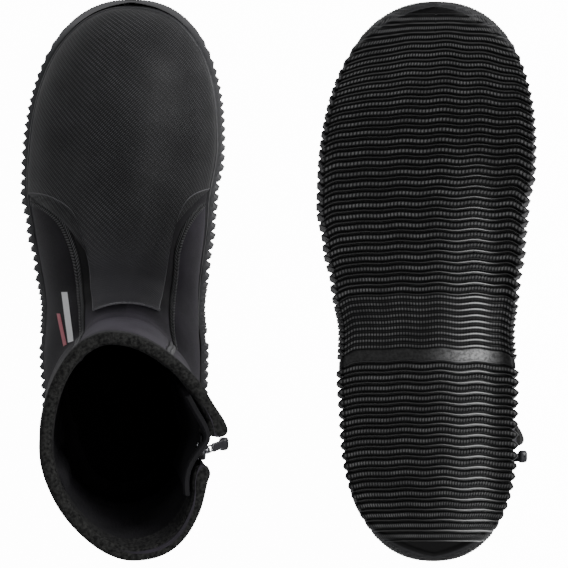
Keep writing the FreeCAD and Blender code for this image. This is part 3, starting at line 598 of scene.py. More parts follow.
def cloth_field(u, v):
    """How far the settled cloth stands off the plain skin, as a grid over u and v."""
    rows_u, columns_v, points, normals = cloth_mesh()
    off = np.einsum("ijk,ijk->ij", settle_cloth(points) - points, normals)
    off = blurred(np.clip(off, OFF_LOW, OFF_HIGH), 1)
    wrapped = np.concatenate([off, off[:, :1]], 1)
    places_v = np.append(columns_v, SPANS)
    across = np.array([np.interp(v, places_v, row) for row in wrapped])
    full = np.array([np.interp(u, rows_u, column) for column in across.T]).T
    return blurred(full, 30)


def bump_field(p, scale, seed):
    """Soft random unevenness, mostly in the range -1 to 1, made of a few slanting waves."""
    draw = np.random.default_rng(seed)
    total = np.zeros(p.shape[:-1])
    for _ in range(7):
        direction = unit(draw.normal(size=3))
        length = scale * draw.uniform(0.7, 1.6)
        total += np.sin(p @ direction * 2.0 * np.pi / length + draw.uniform(0, 6.28))
    return total / 4.0


def crease_field(p):
    """Soft creases across the front of the ankle and behind it, where the boot bends."""
    ankle = np.exp(-((p[..., 1] - 121.0) / 17.0) ** 2 - ((p[..., 2] - 126.0) / 30.0) ** 2)
    along = (p[..., 2] - 118.0) * 0.8 - (p[..., 1] - 118.0) * 0.6 + 0.002 * p[..., 0] ** 2
    rear = np.exp(-((p[..., 1] - 20.0) / 22.0) ** 2 - ((p[..., 2] - 118.0) / 26.0) ** 2)
    return (0.4 * ankle * np.sin(along * 2.0 * np.pi / 15.0)
            + 0.6 * rear * np.sin((p[..., 2] + 0.25 * p[..., 0]) * 2.0 * np.pi / 19.0))


def eased_vamp(base, normals):
    """The skin with the bend eased where the toe's flat top meets the rising instep."""
    eased_base, eased_normals = base, normals
    for _ in range(EASE_ROUNDS):
        eased_base = along_rows(eased_base)
        eased_normals = along_rows(eased_normals)
    y = base[..., 1:2]
    amount = smooth((250.0 - y) / 22.0) * smooth((y - 150.0) / 22.0)
    amount = amount * smooth((base[..., 2:] - 40.0) / 12.0)
    return base + (eased_base - base) * amount, unit(normals + (eased_normals - normals) * amount)


def along_rows(grid):
    """One round of evening out along the rows."""
    padded = np.concatenate([grid[:1], grid, grid[-1:]])
    return (padded[:-2] + 2.0 * grid + padded[2:]) / 4.0


class SoftSkin:
    """The upper as it really lies: the plain skin, with its foam puffed between the seams and creased."""

    def __init__(self):
        self.u = np.arange(0.0, TOP_U, U_STEP)
        self.v = np.arange(0.0, SPANS, V_STEP)
        grid_v = np.tile(self.v, (len(self.u), 1))
        base, normals = SKIN.with_normals(self.u, grid_v)
        normals[0] = normals[1]
        base, normals = eased_vamp(base, normals)
        free = smooth((base[..., 2] - SOLE_GRIP_Z) / 16.0) * smooth((HEIGHT - 8.0 - base[..., 2]) / 20.0)
        keep_zip = smooth((np.abs(zip_across(base)) - 9.0) / 10.0)
        in_zip = (base[..., 0] > 0) & (zip_run(base) < ZIP_RUN + 12.0)
        free = free * np.where(in_zip, keep_zip, 1.0)
        off = cloth_field(self.u, self.v)
        off = off + 0.35 * bump_field(base, 34.0, 7) + crease_field(base)
        off = free * off + self.puffs(base, grid_v)
        self.points = base + normals * off[..., None]
        self.normals = self.turned_normals(normals)
        steps = np.linalg.norm(np.roll(self.points, -1, 1) - self.points, axis=-1)
        girth = np.concatenate([np.zeros((len(self.u), 1)), np.cumsum(steps, 1)], 1)
        self.girth = girth - girth[:, int(round(TOP_V / V_STEP))][:, None]
        self.per_v = steps.mean(1) / V_STEP

    def puffs(self, base, grid_v):
        """The foam's swell between the seams, less the valley each seam pulls in."""
        near = np.full(base.shape[:2], 60.0)
        steps = np.linalg.norm(np.roll(base, -1, 1) - base, axis=-1).mean(1) / V_STEP
        for line in (outer_seam_v(self.u), inner_seam_v(self.u), rear_seam_v(self.u)):
            gap = (grid_v - line[:, None] + SPANS / 2) % SPANS - SPANS / 2
            away = np.abs(gap) * steps[:, None]
            near = np.minimum(near, away)
        shown = smooth((base[..., 2] - SOLE_GRIP_Z) / 8.0) * smooth((HEIGHT - 4.0 - base[..., 2]) / 12.0)
        swell = 1.0 - np.exp(-(near / 9.0) ** 2)
        return shown * (PUFF * swell - VALLEY * np.exp(-(near / 3.6) ** 2))

    def turned_normals(self, rough):
        """The soft skin's own normals, turned to the same side as the rough ones."""
        du = np.gradient(self.points, axis=0)
        dv = np.roll(self.points, -1, 1) - np.roll(self.points, 1, 1)
        normals = unit(np.cross(dv, du))
        flip = np.einsum("ijk,ijk->ij", normals, rough) < 0
        normals[flip] *= -1.0
        normals[:3] = rough[:3]
        return normals

    def sample(self, table, u, v):
        """A table's value at any u and v, between its grid's corners."""
        row = np.clip(np.asarray(u) / U_STEP, 0.0, len(self.u) - 1.001)
        column = np.mod(np.asarray(v) / V_STEP, len(self.v))
        i = row.astype(int)
        j = np.floor(column).astype(int) % len(self.v)
        k = (j + 1) % len(self.v)
        s, t = row - i, column - np.floor(column)
        if table.ndim == 3:
            s, t = s[..., None], t[..., None]
        return ((1 - s) * ((1 - t) * table[i, j] + t * table[i, k])
                + s * ((1 - t) * table[i + 1, j] + t * table[i + 1, k]))

    def at(self, u, v, off=0.0):
        """Points standing off the soft skin by off."""
        points = self.sample(self.points, u, v)
        normals = unit(self.sample(self.normals, u, v))
        return points + normals * np.asarray(off)[..., None]

    def girth_at(self, u, v):
        """Millimetres round the section from its top middle line."""
        v = np.asarray(v, float)
        turns = np.floor(v / SPANS)
        whole = self.girth[:, -1] - self.girth[:, 0]
        row = np.clip(np.asarray(u) / U_STEP, 0.0, len(self.u) - 1.001)
        i = row.astype(int)
        return self.sample(self.girth[:, :-1], u, v) + turns * whole[i]


SOFT = SoftSkin()

# ---------------------------------------------------------------- upper panels

NEOPRENE, LINING = 4.6, 0.9
PANEL_SPACING = 1.6
PANEL_EDGE = 1.6      # radius of a panel's own edge
RIM_DROP = 1.3        # the panels stop this far below the cuff's rim, inside its binding
EDGES = {
    "inner": inner_seam_v(SOFT.u),
    "outer": outer_seam_v(SOFT.u),
    "rear": rear_seam_v(SOFT.u),
    "slot_front": slot_front_v(SOFT.u),
    "slot_rear": slot_rear_v(SOFT.u),
}
RIM_U = float(u_at_height(HEIGHT - RIM_DROP))
# each panel lies between two of the edges
PANELS = (
    ("front_panel", "inner", "outer"),
    ("lateral_panel", "outer", "rear"),
    ("heel_panel", "rear", "slot_rear"),
    ("medial_panel", "slot_front", "inner"),
)


def edge(name, u):
    """v of a panel's edge at u."""
    return np.interp(u, SOFT.u, EDGES[name])


def rounded_drop(away, radius):
    """How far a rounded edge falls below its face, away millimetres in from the edge."""
    inside = np.clip(radius - away, 0.0, radius)
    return radius - np.sqrt(radius * radius - inside * inside)


def shares(width, spacing, near=(0.0, 0.35, 0.9, 1.7)):
    """Places from 0 to 1 over a width, closer together at both ends."""
    near = np.array(near) / width
    middle = np.linspace(near[-1], 1.0 - near[-1], max(3, int(width / spacing)))[1:-1]
    return np.concatenate([near, middle, 1.0 - near[::-1]])


def panel_rows(low, high):
    """The rows of a panel, closer together where one of its edges runs steeply."""
    lines = [lambda u: edge(low, u), lambda u: edge(high, u)]
    u = np.append(dense_rows(0.0, RIM_U - 0.4, lines, PANEL_SPACING, 2.4), RIM_U)
    a, b = edge(low, u), edge(high, u)
    width = (b - a) * np.interp(u, SOFT.u, SOFT.per_v)
    keep = width > 3.0
    if low == "outer":
        keep &= SOFT.at(u, a)[:, 2] > PANEL_LOW_Z + 0.5
    if high == "inner":
        keep &= SOFT.at(u, b)[:, 2] > PANEL_LOW_Z + 0.5
    rows = np.nonzero(keep)[0]
    rows = np.arange(rows[0], rows[-1] + 1)
    return u[rows], a[rows], b[rows], np.maximum(width[rows], 0.2)


def panel_mesh(low, high):
    """A panel between two edges, with all its own edges rounded."""
    u, a, b, width = panel_rows(low, high)
    s = shares(float(width.max()), PANEL_SPACING)
    uu, v = between(u, a, b, s)
    drop = rounded_drop(np.minimum(s, 1.0 - s) * width[:, None], PANEL_EDGE)
    return slab_mesh(SOFT.at(uu, v, -drop), SOFT.at(uu, v, -NEOPRENE + 0.5 * drop))


def dull_and_shade_share(name, points):
    """How dull the neoprene is, and how far a painted shade darkens it: all over the outer side, and on the
    front panel ahead of the ankle, less on its inner side.
    """
    if name == "lateral_panel":
        # painted shade over the whole outer panel
        return np.full(len(points), 0.75)
    if name == "front_panel":
        # painted shade on the front panel ahead of the ankle, lighter on the inner side
        return smooth((points[:, 1] - 113.0) / 12.0) * np.where(points[:, 0] > 4.0, 0.72, 0.97)
    return np.zeros(len(points))


def make_panels():
    """The four panels of neoprene."""
    for name, low, high in PANELS:
        points, faces = panel_mesh(low, high)
        add_closed(name, points, faces, "neoprene", layers={"dull_and_shade": dull_and_shade_share(name, points)})


# ---------------------------------------------------------------- seams

# name, edge it covers, half width
SEAMS = (("lateral_seam", "outer", 2.9), ("medial_seam", "inner", 2.9), ("rear_seam", "rear", 2.6))
SEAM_LOW_Z, SEAM_HIGH_Z = 34.0, HEIGHT - 14.2      # from inside the rand to just inside the binding
SEAM_HEIGHT, SEAM_PITCH = 1.2, 1.9                 # of the cord, and of its slanting turns
SEAM_SPACING = 0.36                                # between the cord's sections


def path_on_skin(u, v, spacing):
    """The path through (u, v), set out evenly: its points, the ways across and outward, the places."""
    points = SOFT.at(u, v)
    run = run_along(points)
    places = np.arange(0.0, run[-1], spacing)
    u, v = np.interp(places, run, u), np.interp(places, run, v)
    points = SOFT.at(u, v)
    out = unit(SOFT.sample(SOFT.normals, u, v))
    along = unit(np.gradient(points, axis=0))
    return points, unit(np.cross(out, along)), out, places


def rope_band(u, v, half, height, pitch):
    """A seam's flat cord of overlocked thread: slanting turns across a domed band."""
    points, across, out, places = path_on_skin(u, v, SEAM_SPACING)
    t = np.linspace(-1.0, 1.0, 15)
    dome = np.sqrt(np.clip(1.0 - np.abs(t) ** 3.0, 0.0, 1.0))
    turns = places[:, None] / pitch + 0.8 * half / pitch * np.abs(t)
    ridge = np.abs(np.sin(np.pi * turns)) ** 0.8 * (1.0 - 0.45 * np.exp(-(t / 0.12) ** 2))
    fall = smooth(places / 2.0) * smooth((places[-1] - places) / 2.0)
    top = (0.1 + dome * (0.35 + 0.65 * ridge)) * height * (0.2 + 0.8 * fall[:, None])
    wander = 0.12 * np.sin(places / 9.0)[:, None]
    sag = half * half * t * t / 90.0
    outer = (points[:, None] + across[:, None] * (t * half + wander)[..., None]
             + out[:, None] * (top - sag)[..., None])
    inner = (points[:, None] + across[:, None] * (t * half * 0.96 + wander)[..., None]
             - out[:, None] * (0.5 + sag)[..., None])
    # where a highlight is painted on the cord's raised turns
    wear_and_highlight = np.concatenate([(ridge * dome * fall[:, None]).ravel(), np.zeros(ridge.size)])
    return slab_mesh(outer, inner), wear_and_highlight


def seam_rows(name, low_z, high_z):
    """The part of a panel edge between two heights, as u and v."""
    u = SOFT.u
    v = EDGES[name]
    points = SOFT.at(u, v)
    keep = (points[:, 2] > low_z) & (points[:, 2] < high_z) & (u < RIM_U)
    if name != "rear":
        keep &= points[:, 1] < 188.0
    rows = np.nonzero(keep)[0]
    return u[rows[0]:rows[-1] + 1], v[rows[0]:rows[-1] + 1]


def evened(values, times=6):
    """A line's values with their small steps evened out."""
    for _ in range(times):
        middle = (values[:-2] + 2.0 * values[1:-1] + values[2:]) / 4.0
        values = np.concatenate([values[:1], middle, values[-1:]])
    return values


def make_seams():
    """The flat cords over the joins of the panels."""
    for name, key, half in SEAMS:
        u, v = seam_rows(key, SEAM_LOW_Z, SEAM_HIGH_Z)
        (points, faces), wear_and_highlight = rope_band(u, evened(v), half, SEAM_HEIGHT, SEAM_PITCH)
        add_closed(name, points, faces, "seam_thread", layers={"wear_and_highlight": wear_and_highlight})


# ---------------------------------------------------------------- guards and side stripes

GUARD_THICK = 1.1
GUARD_BEVEL = 0.7
GUARD_LOW_Z = 33.0        # the guard ends here, under the rand
GUARD_REAR_X, GUARD_REAR_Y, GUARD_REAR_HALF, GUARD_REAR_SAG = 3.8, 122.8, 17.3, 3.8
GUARD_LIFT = 0.7          # how far its rear edge stands off the neoprene
GUARD_SINK = 0.15         # how deep the guards are pressed into the neoprene
GUARD_NEAR = (0.0, 0.25, 0.6, 1.1, 1.7)     # the first few rows, in from a guard's edge
HEEL_GUARD_LOW_Z = 32.0
BACK_V = 21.0             # the middle of the boot's back, three quarters of the way round


def dense_rows(u_low, u_high, lines, spacing, edge_spacing):
    """Rows of u spaced so that neither the rows nor the edge lines' points are far apart."""
    u = np.linspace(u_low, u_high, 6000)
    cost = np.full(len(u) - 1, (u[1] - u[0]) / spacing)
    for line in lines:
        points = SOFT.at(u, line(u))
        step = np.linalg.norm(np.diff(points, axis=0), axis=1)
        cost = np.maximum(cost, step / edge_spacing)
    count = np.concatenate([[0.0], np.cumsum(cost)])
    return np.interp(np.arange(0.0, count[-1]), count, u)


def twill_layers(u, v, rim, rear):
    """What the guard's paint reads: millimetres along and round the boot, the share of the painted highlight
    along the rim, and the rear share.
    """
    layers = {"along": u, "around": SOFT.girth_at(u, v), "rim": rim, "rear": rear}
    return {name: np.concatenate([values.ravel(), values.ravel()]) for name, values in layers.items()}


def guard_rear_u(v):
    """Where the instep guard's arched rear edge crosses each v."""
    u = np.linspace(u_of_y(175.0), u_of_y(104.0), 500)
    points = SOFT.at(np.tile(u[:, None], (1, len(v))), np.tile(v, (len(u), 1)))
    rear = GUARD_REAR_Y - GUARD_REAR_SAG * ((points[..., 0] - GUARD_REAR_X) / GUARD_REAR_HALF) ** 2
    ahead = (points[..., 1] - rear).T
    return first_crossing(ahead, u, u[-1])


TOP_LINE = SOFT.at(SOFT.u, np.full(len(SOFT.u), TOP_V))


def u_of_y(y):
    """The row whose top middle point is at y, ahead of the ankle."""
    reach = int(np.argmin(np.abs(SOFT.u - SHAFT_U)))
    return float(np.interp(-y, -TOP_LINE[:reach, 1], SOFT.u[:reach]))


def inside_guard_outer(p):
    return p[..., 0] - guard_outer_x(p[..., 1])


def inside_guard_inner(p):
    return guard_inner_x(p[..., 1]) - p[..., 0]


def guard_edge(u, inside, end, corner_y, shares_along):
    """One of the guard's long edges, from toe to rear corner, as u and v at shares of its length."""
    v = line_v(u, TOP_V, end, inside, GUARD_LOW_Z)
    points = SOFT.at(u, v)
    last = int(np.argmax((points[:, 1] < corner_y) & (points[:, 2] > 60.0)))
    run = run_along(points[:last])
    places = shares_along * run[-1]
    return np.interp(places, run, u[:last]), np.interp(places, run, v[:last])


def guard_grid():
    """The guard's u and v: rows that arch over the toe and lean back with its long edges."""
    first = float(SOFT.u[int(np.argmax(TOP_LINE[:, 2] > GUARD_LOW_Z + 0.8))])
    u = np.linspace(first, u_of_y(114.0), 3000)
    along = shares(230.0, 0.62, GUARD_NEAR)
    corner_y = GUARD_REAR_Y - GUARD_REAR_SAG
    left_u, left_v = guard_edge(u, inside_guard_outer, LOW_V_OUT, corner_y, along)
    right_u, right_v = guard_edge(u, inside_guard_inner, LOW_V_IN, corner_y, along)
    s = shares(200.0, 0.75, GUARD_NEAR)
    end_v = left_v[-1] + (right_v[-1] - left_v[-1]) * s
    rear = guard_rear_u(end_v)
    rear[0], rear[-1] = left_u[-1], right_u[-1]
    side_u = np.where(s < 0.5, left_u[:, None], right_u[:, None])
    side_end = np.where(s < 0.5, left_u[-1], right_u[-1])
    side = (side_u - first) / (side_end - first)
    weight = np.abs(2.0 * s - 1.0) ** 2.4
    share = along[:, None] + (side - along[:, None]) * weight
    uu = first + (rear - first) * share
    return uu, between(along, left_v, right_v, s)[1], rear


def guard_top(away):
    """How far a guard's face stands off the skin: a rounded edge with a fine raised lip inside it."""
    return GUARD_THICK - rounded_drop(away, GUARD_BEVEL) + 0.18 * np.exp(-((away - 1.1) / 0.45) ** 2)


def make_instep_guard():
    """The moulded guard over the toe and instep, its rear edge standing a little proud."""
    uu, v, rear = guard_grid()
    base = SOFT.at(uu, v)
    steps = np.linalg.norm(np.diff(base, axis=1), axis=-1)
    run = np.concatenate([np.zeros((len(uu), 1)), np.cumsum(steps, 1)], 1)
    left, right, behind = run, run[:, -1:] - run, np.maximum(rear - uu, 0.0)
    away = np.minimum(np.minimum(left, right), behind)
    lift = GUARD_LIFT * np.exp(-(behind / 4.0) ** 2)
    outer = SOFT.at(uu, v, guard_top(away) + lift)
    inner = SOFT.at(uu, v, -GUARD_SINK + lift * 0.8)
    # the painted highlight along the guard's edges: strongest on the inner edge, less on the rear, least on
    # the outer
    rim_highlights = (np.exp(-(right / 1.1) ** 2), 0.4 * np.exp(-(left / 1.0) ** 2), 0.7 * np.exp(-(behind / 0.9) ** 2))
    layers = twill_layers(uu, v, np.max(rim_highlights, axis=0), smooth((175.0 - base[..., 1]) / 45.0))
    add_closed("instep_guard", *slab_mesh(outer, inner), "guard_mesh", sharp=60.0, layers=layers)


def heel_guard_side(u, end):
    """Where the heel guard's edge lies at each row, going round from the boot's back towards end."""
    grid = np.linspace(BACK_V, end, 260)
    points = SOFT.at(np.tile(u[:, None], (1, len(grid))), np.tile(grid, (len(u), 1)))
    y, z = points[..., 1], points[..., 2]
    front_y = HEEL_GUARD[-1][0]
    line_z = np.where(y < front_y, heel_guard_z(np.clip(y, -20.0, front_y)), 30.0)
    inside = np.where(z < HEEL_GUARD_LOW_Z, 1.0, line_z - z)
    return first_crossing(inside, grid, end)


def make_heel_guard():
    """The cup over the heel: the skin behind the guard's edge line, down to the sole."""
    fan_u = SKIN.places[-len(SHAFT) - len(FAN)]
    u = SOFT.u[(SOFT.u > fan_u) & (SOFT.u < u_at_height(150.0))]
    u = np.arange(u[0], u[-1], 0.6)
    a, b = heel_guard_side(u, BACK_V - 6.5), heel_guard_side(u, BACK_V + 6.5)
    back = SOFT.at(u, np.full(len(u), BACK_V))
    keep = np.nonzero((back[:, 2] < 80.0) & (back[:, 1] < 60.0) & (b - a > 0.3))[0]
    u, a, b = (values[keep[0]:keep[-1] + 1] for values in (u, a, b))
    a, b = evened(a, 3), evened(b, 3)
    s = shares(130.0, 0.62, GUARD_NEAR)
    uu, v = between(u, a, b, s)
    width = np.abs(SOFT.girth_at(uu, v[:, :1] + 0 * v) - SOFT.girth_at(uu, v[:, -1:] + 0 * v))
    away = np.minimum(np.minimum(s, 1.0 - s) * width, u[-1] - uu)
    outer = SOFT.at(uu, v, guard_top(away))
    inner = SOFT.at(uu, v, -GUARD_SINK)
    # a painted highlight along the heel guard's edges, and a constant rear share
    layers = twill_layers(uu, v, 0.45 * np.exp(-(away / 0.75) ** 2), np.full(uu.shape, 0.4))
    add_closed("heel_guard", *slab_mesh(outer, inner), "guard_mesh", sharp=60.0, layers=layers)


# each stripe's corners seen from above: x, y
STRIPES = {
    "stripe_white": ((-33.0, 129.5), (-29.6, 129.5), (-25.2, 102.5), (-28.4, 101.5)),
    "stripe_red": ((-35.6, 117.5), (-33.6, 117.5), (-29.2, 100.5), (-31.2, 99.5)),
}
STRIPE_HEIGHT, STRIPE_SINK = 0.22, 0.2      # how far the ink's two faces lie out from and in the cloth
STRIPE_ROWS, STRIPE_COLUMNS = 40, 8


def soft_tree():
    """The soft skin as a tree that rays can be cast at."""
    rows, columns = SOFT.points.shape[:2]
    faces = grid_faces(rows, columns, around=True)
    below = int((SOFT.u < RIM_U + 1.0).sum())
    return BVHTree.FromPolygons(SOFT.points.reshape(-1, 3).tolist(), faces[:below * columns].tolist())


SOFT_TREE = soft_tree()


def seen_from_above(x, y):
    """The point of the upper at x, y, and its upward normal."""
    hit, normal, _, _ = SOFT_TREE.ray_cast(Vector((x, y, HEIGHT + 30.0)), Vector((0.0, 0.0, -1.0)))
    normal = np.array(normal)
    return np.array(hit), normal if normal[2] > 0 else -normal


def make_stripes():
    """The two printed stripes on the outer side."""
    for name, corners in STRIPES.items():
        c = np.array(corners)
        t = np.linspace(0.0, 1.0, STRIPE_ROWS)[:, None, None]
        s = np.linspace(0.0, 1.0, STRIPE_COLUMNS)[None, :, None]
        flat = (1 - t) * ((1 - s) * c[0] + s * c[1]) + t * ((1 - s) * c[3] + s * c[2])
        found = np.array([seen_from_above(x, y) for x, y in flat.reshape(-1, 2)])
        hits, normals = (found[:, k].reshape(STRIPE_ROWS, STRIPE_COLUMNS, 3) for k in (0, 1))
        mesh = slab_mesh(hits + normals * STRIPE_HEIGHT, hits - normals * STRIPE_SINK)
        add_closed(name, *mesh, "stripe_print", node="side_stripes", material=name)


# ---------------------------------------------------------------- rand, cuff binding, lining, insole

RAND_THICK, RAND_TOP = 1.7, 35.2
RAND_ROWS, RAND_COLUMNS = 15, 900
RAND_EDGE, RAND_SINK = 1.2, 0.8       # its top edge's radius, and how deep it is pressed into the upper
RAND_REACH, RAND_FALLBACK = 6.0, 5.0  # where the upper is looked for, in and out from the sole's outline
# y and height of the sole wall's top, which rises at the heel and the toe
WALL_PLACES, WALL_HEIGHTS = (10.0, 42.0, 248.0, 280.0), (31.0, 24.0, 24.0, 31.0)


def wall_top(y):
    """The height of the sole wall's top at y."""
    return np.interp(y, WALL_PLACES, WALL_HEIGHTS)


def perimeter(count):
    """The sole's outline set out evenly, with its outward directions, going round from the heel."""
    turn = np.linspace(0.0, np.pi, 900)
    y = SOLE_LENGTH / 2 * (1.0 - np.cos(turn))
    outer = np.array([(plan_x(-1, v, 0.0), v) for v in y])
    inner = np.array([(plan_x(1, v, 0.0), v) for v in y])
    loop = np.concatenate([outer, inner[::-1][1:-1]])
    steps = np.linalg.norm(np.roll(loop, -1, 0) - loop, axis=1)
    run = np.concatenate([[0.0], np.cumsum(steps)])
    places = np.linspace(0.0, run[-1], count, endpoint=False)
    closed = np.concatenate([loop, loop[:1]])
    points = np.stack([np.interp(places, run, closed[:, k]) for k in (0, 1)], 1)
    ahead = unit(np.roll(points, -2, 0) - np.roll(points, 2, 0))
    return points, np.stack([-ahead[:, 1], ahead[:, 0]], 1)


def rand_column(p, n):
    """The band's outer face and its inner one at the outline's point p, whose outward direction is n."""
    low = float(wall_top(p[1]))
    heights = [low - 4.0, low - 1.0, *(low + (RAND_TOP - low) * np.linspace(0.0, 1.0, RAND_ROWS))]
    level, tilted = np.array([n[0], n[1], 0.0]), np.array([n[0], n[1], 0.25])
    outer, inner = [], []
    for z in heights:
        place = np.array([p[0], p[1], z])
        hit = SOFT_TREE.ray_cast(Vector(place + level * RAND_REACH), Vector(-level))[0]
        hit = place - level * RAND_FALLBACK if hit is None else np.array(hit)
        outer.append(hit + tilted * (RAND_THICK - rounded_drop(max(RAND_TOP - z, 0.0), RAND_EDGE)))
        inner.append(hit - level * RAND_SINK)
    return outer + inner[::-1]


def make_rand():
    """The smooth band round the upper, from inside the sole's wall to its own rounded top edge."""
    outline, out = perimeter(RAND_COLUMNS)
    section = even_along(np.array([rand_column(p, n) for p, n in zip(outline, out)]), 2)
    add_closed("rand", section.reshape(-1, 3), grid_faces_ring(*section.shape[:2]), "rand_rubber")


def even_along(rings, times):
    """Evens out a closed run of sections along its length."""
    for _ in range(times):
        rings = (np.roll(rings, 1, 0) + 2.0 * rings + np.roll(rings, -1, 0)) / 4.0
    return rings


def grid_faces_ring(rows, columns):
    """Quads over a grid closed both ways."""
    index = np.arange(rows * columns).reshape(rows, columns)
    index = np.concatenate([index, index[:1]])
    index = np.concatenate([index, index[:, :1]], 1)
    a, b, c, d = index[:-1, :-1], index[:-1, 1:], index[1:, 1:], index[1:, :-1]
    return np.stack([a, b, c, d], -1).reshape(-1, 4)


BINDING_HEIGHT, BINDING_OUT, BINDING_IN = 15.0, 0.75, 6.3     # its height, and its faces' offsets
BINDING_END_RADIUS = 4.6
FOLD_LENGTH, FOLD_EXTRA = 13.0, 4.4     # how far back and how much the front end thickens inwards
FLARE_LENGTH, FLARE_FRONT, FLARE_REAR = 19.0, 2.6, 2.4     # how its two ends stand out beside the zip


def binding_profile():
    """The binding's section, round from its outer lower edge: how far outward and how far above the rim."""
    radius_out, radius_in = 2.6, 3.0
    quarter = np.linspace(0.0, np.pi / 2, 8)
    points = [(BINDING_OUT - 0.55, -BINDING_HEIGHT), (BINDING_OUT - 0.15, -BINDING_HEIGHT + 0.25)]
    points += [(BINDING_OUT, -z) for z in np.linspace(BINDING_HEIGHT - 0.8, radius_out, 14)]
    for c, s in zip(1 - np.cos(quarter[1:]), 1 - np.sin(quarter[1:])):
        points.append((BINDING_OUT - radius_out * c, -radius_out * s))
    for c, s in zip(1 - np.cos(quarter), 1 - np.sin(quarter)):
        points.append((-BINDING_IN + radius_in * s, -radius_in * c))
    points += [(-BINDING_IN, -z) for z in np.linspace(radius_in, BINDING_HEIGHT, 10)[1:]]
    points += [(-BINDING_IN + 0.6, -BINDING_HEIGHT)]
    return np.array(points)


def rim_line(v, z):
    """The plain skin's points at v and height z, with level outward directions."""
    u = np.atleast_1d(u_at_height(z))
    points, ahead, behind = (SKIN.at(u, np.atleast_2d(v + step))[0] for step in (0.0, 0.04, -0.04))
    step = ahead - behind
    out = unit(np.stack([step[:, 1], -step[:, 0]], 1))
    middle = points[:, :2] - points[:, :2].mean(0)
    sign = 1.0 if (out * middle).sum() > 0 else -1.0
    return points, out * sign


def binding_places(length):
    """Places along the binding, closer together near its ends."""
    near = np.linspace(0.0, 9.0, 34)
    return np.concatenate([near, np.arange(9.6, length - 9.0, 0.9), length - near[::-1]])


def make_binding():
    """The cuff's binding, from the zip's front edge round to its rear edge, its ends folded over."""
    dense = np.linspace(float(edge("slot_front", RIM_U)), float(edge("slot_rear", RIM_U)), 700)
    run = run_along(rim_line(dense, HEIGHT)[0])
    places = binding_places(run[-1])
    v = np.interp(places, run, dense)
    front_fold = FOLD_EXTRA * smooth((FOLD_LENGTH - places) / FOLD_LENGTH)
    swell = 0.22 * np.sin(places / 13.0) + 0.15 * np.sin(places / 5.3 + 1.0)
    flare = (FLARE_FRONT * smooth((FLARE_LENGTH - places) / FLARE_LENGTH)
             + FLARE_REAR * smooth((FLARE_LENGTH - (run[-1] - places)) / FLARE_LENGTH))
    sag = 0.25 * (1 + np.sin(places / 21.0))
    profile = binding_profile()
    rings = np.zeros((len(v), len(profile), 3))
    for k, (off, rise) in enumerate(profile):
        points, out = rim_line(v, HEIGHT + rise)
        inner_share = np.clip((BINDING_OUT - off) / (BINDING_OUT + BINDING_IN), 0.0, 1.0)
        away = off - front_fold * inner_share + (flare + swell * 0.5) * (1.0 - inner_share)
        rings[:, k, :2] = points[:, :2] + out * away[:, None]
        rings[:, k, 2] = HEIGHT + rise - sag * (rise > -3.0)
    rings = rounded_ends(rings, places, run[-1], BINDING_END_RADIUS)
    points, faces = with_caps(rings, grid_faces(len(v), len(profile), around=True))
    add_closed("cuff_binding", points, faces, "binding_tape", sharp=60.0)


def rounded_ends(rings, places, length, radius):
    """Draws a swept band's sections in towards their middle near its two ends."""
    from_end = np.minimum(places, length - places)
    share = np.sqrt(np.clip(1.0 - (1.0 - np.clip(from_end / radius, 0.0, 1.0)) ** 2, 0.0, 1.0))
    share = 0.25 + 0.75 * share
    middle = rings.mean(1, keepdims=True)
    flat = rings.copy()
    flat[..., :2] = middle[..., :2] + (rings[..., :2] - middle[..., :2]) * share[:, None, None]
    rise = HEIGHT - rings[..., 2]
    flat[..., 2] = rings[..., 2] - (1.0 - share[:, None]) * 1.6 * np.exp(-rise / 4.0)
    return flat


def with_caps(rings, faces):
    """Closes a swept tube's two ends with a ring half way in and a quad fan to their middles."""
    rows, columns = rings.shape[:2]
    points, faces = [rings.reshape(-1, 3)], [faces]
    count = rows * columns
    for row, turn in ((0, 1), (rows - 1, -1)):
        centre = rings[row].mean(0)
        points += [rings[row] * 0.5 + centre * 0.5, centre[None]]
        outer = np.arange(columns) + row * columns
        inner = np.arange(columns) + count
        quads = np.stack([outer, inner, np.roll(inner, -1), np.roll(outer, -1)], -1)
        faces += [quads[:, ::turn], fan_quads(inner, count + columns)[:, ::turn]]
        count += columns + 1
    return np.concatenate(points), np.concatenate(faces)


def fan_quads(ring, middle):
    """Quads from a ring with an even number of points to its middle."""
    a, b, c = ring[0::2], ring[1::2], np.roll(ring[0::2], -1)
    size = min(len(a), len(b))
    return np.stack([a[:size], np.full(size, middle), c[:size], b[:size]], -1)


TAPE_THICK, TAPE_HALF = 0.7, 6.5      # of the tapes over the lining's seams


def make_lining():
    """The knitted lining against the foot, with its seams' flat tapes."""
    u = np.arange(30.0, u_at_height(HEIGHT - 9.0), 2.0)
    low, high = edge("slot_front", u), edge("slot_rear", u)
    s = shares(260.0, 2.4, (0.0, 1.0, 2.2))
    uu, v = between(u, low, high, s)
    points = SOFT.at(uu, v)
    folds = 0.35 * bump_field(points, 22.0, 11)
    tape = np.zeros_like(uu)
    for key in ("inner", "outer", "rear"):
        line = edge(key, u)[:, None]
        for turn in (0.0, SPANS):
            away = np.abs(v - line - turn) * np.interp(u, SOFT.u, SOFT.per_v)[:, None]
            tape = np.maximum(tape, TAPE_THICK * smooth((TAPE_HALF - away) / 1.2))
    outer = SOFT.at(uu, v, 0.05 - NEOPRENE)
    inner = SOFT.at(uu, v, -NEOPRENE - LINING - folds * 0.6 - tape)
    add_closed("lining", *slab_mesh(outer, inner), "lining_knit")


INSOLE_INSET = 11.4


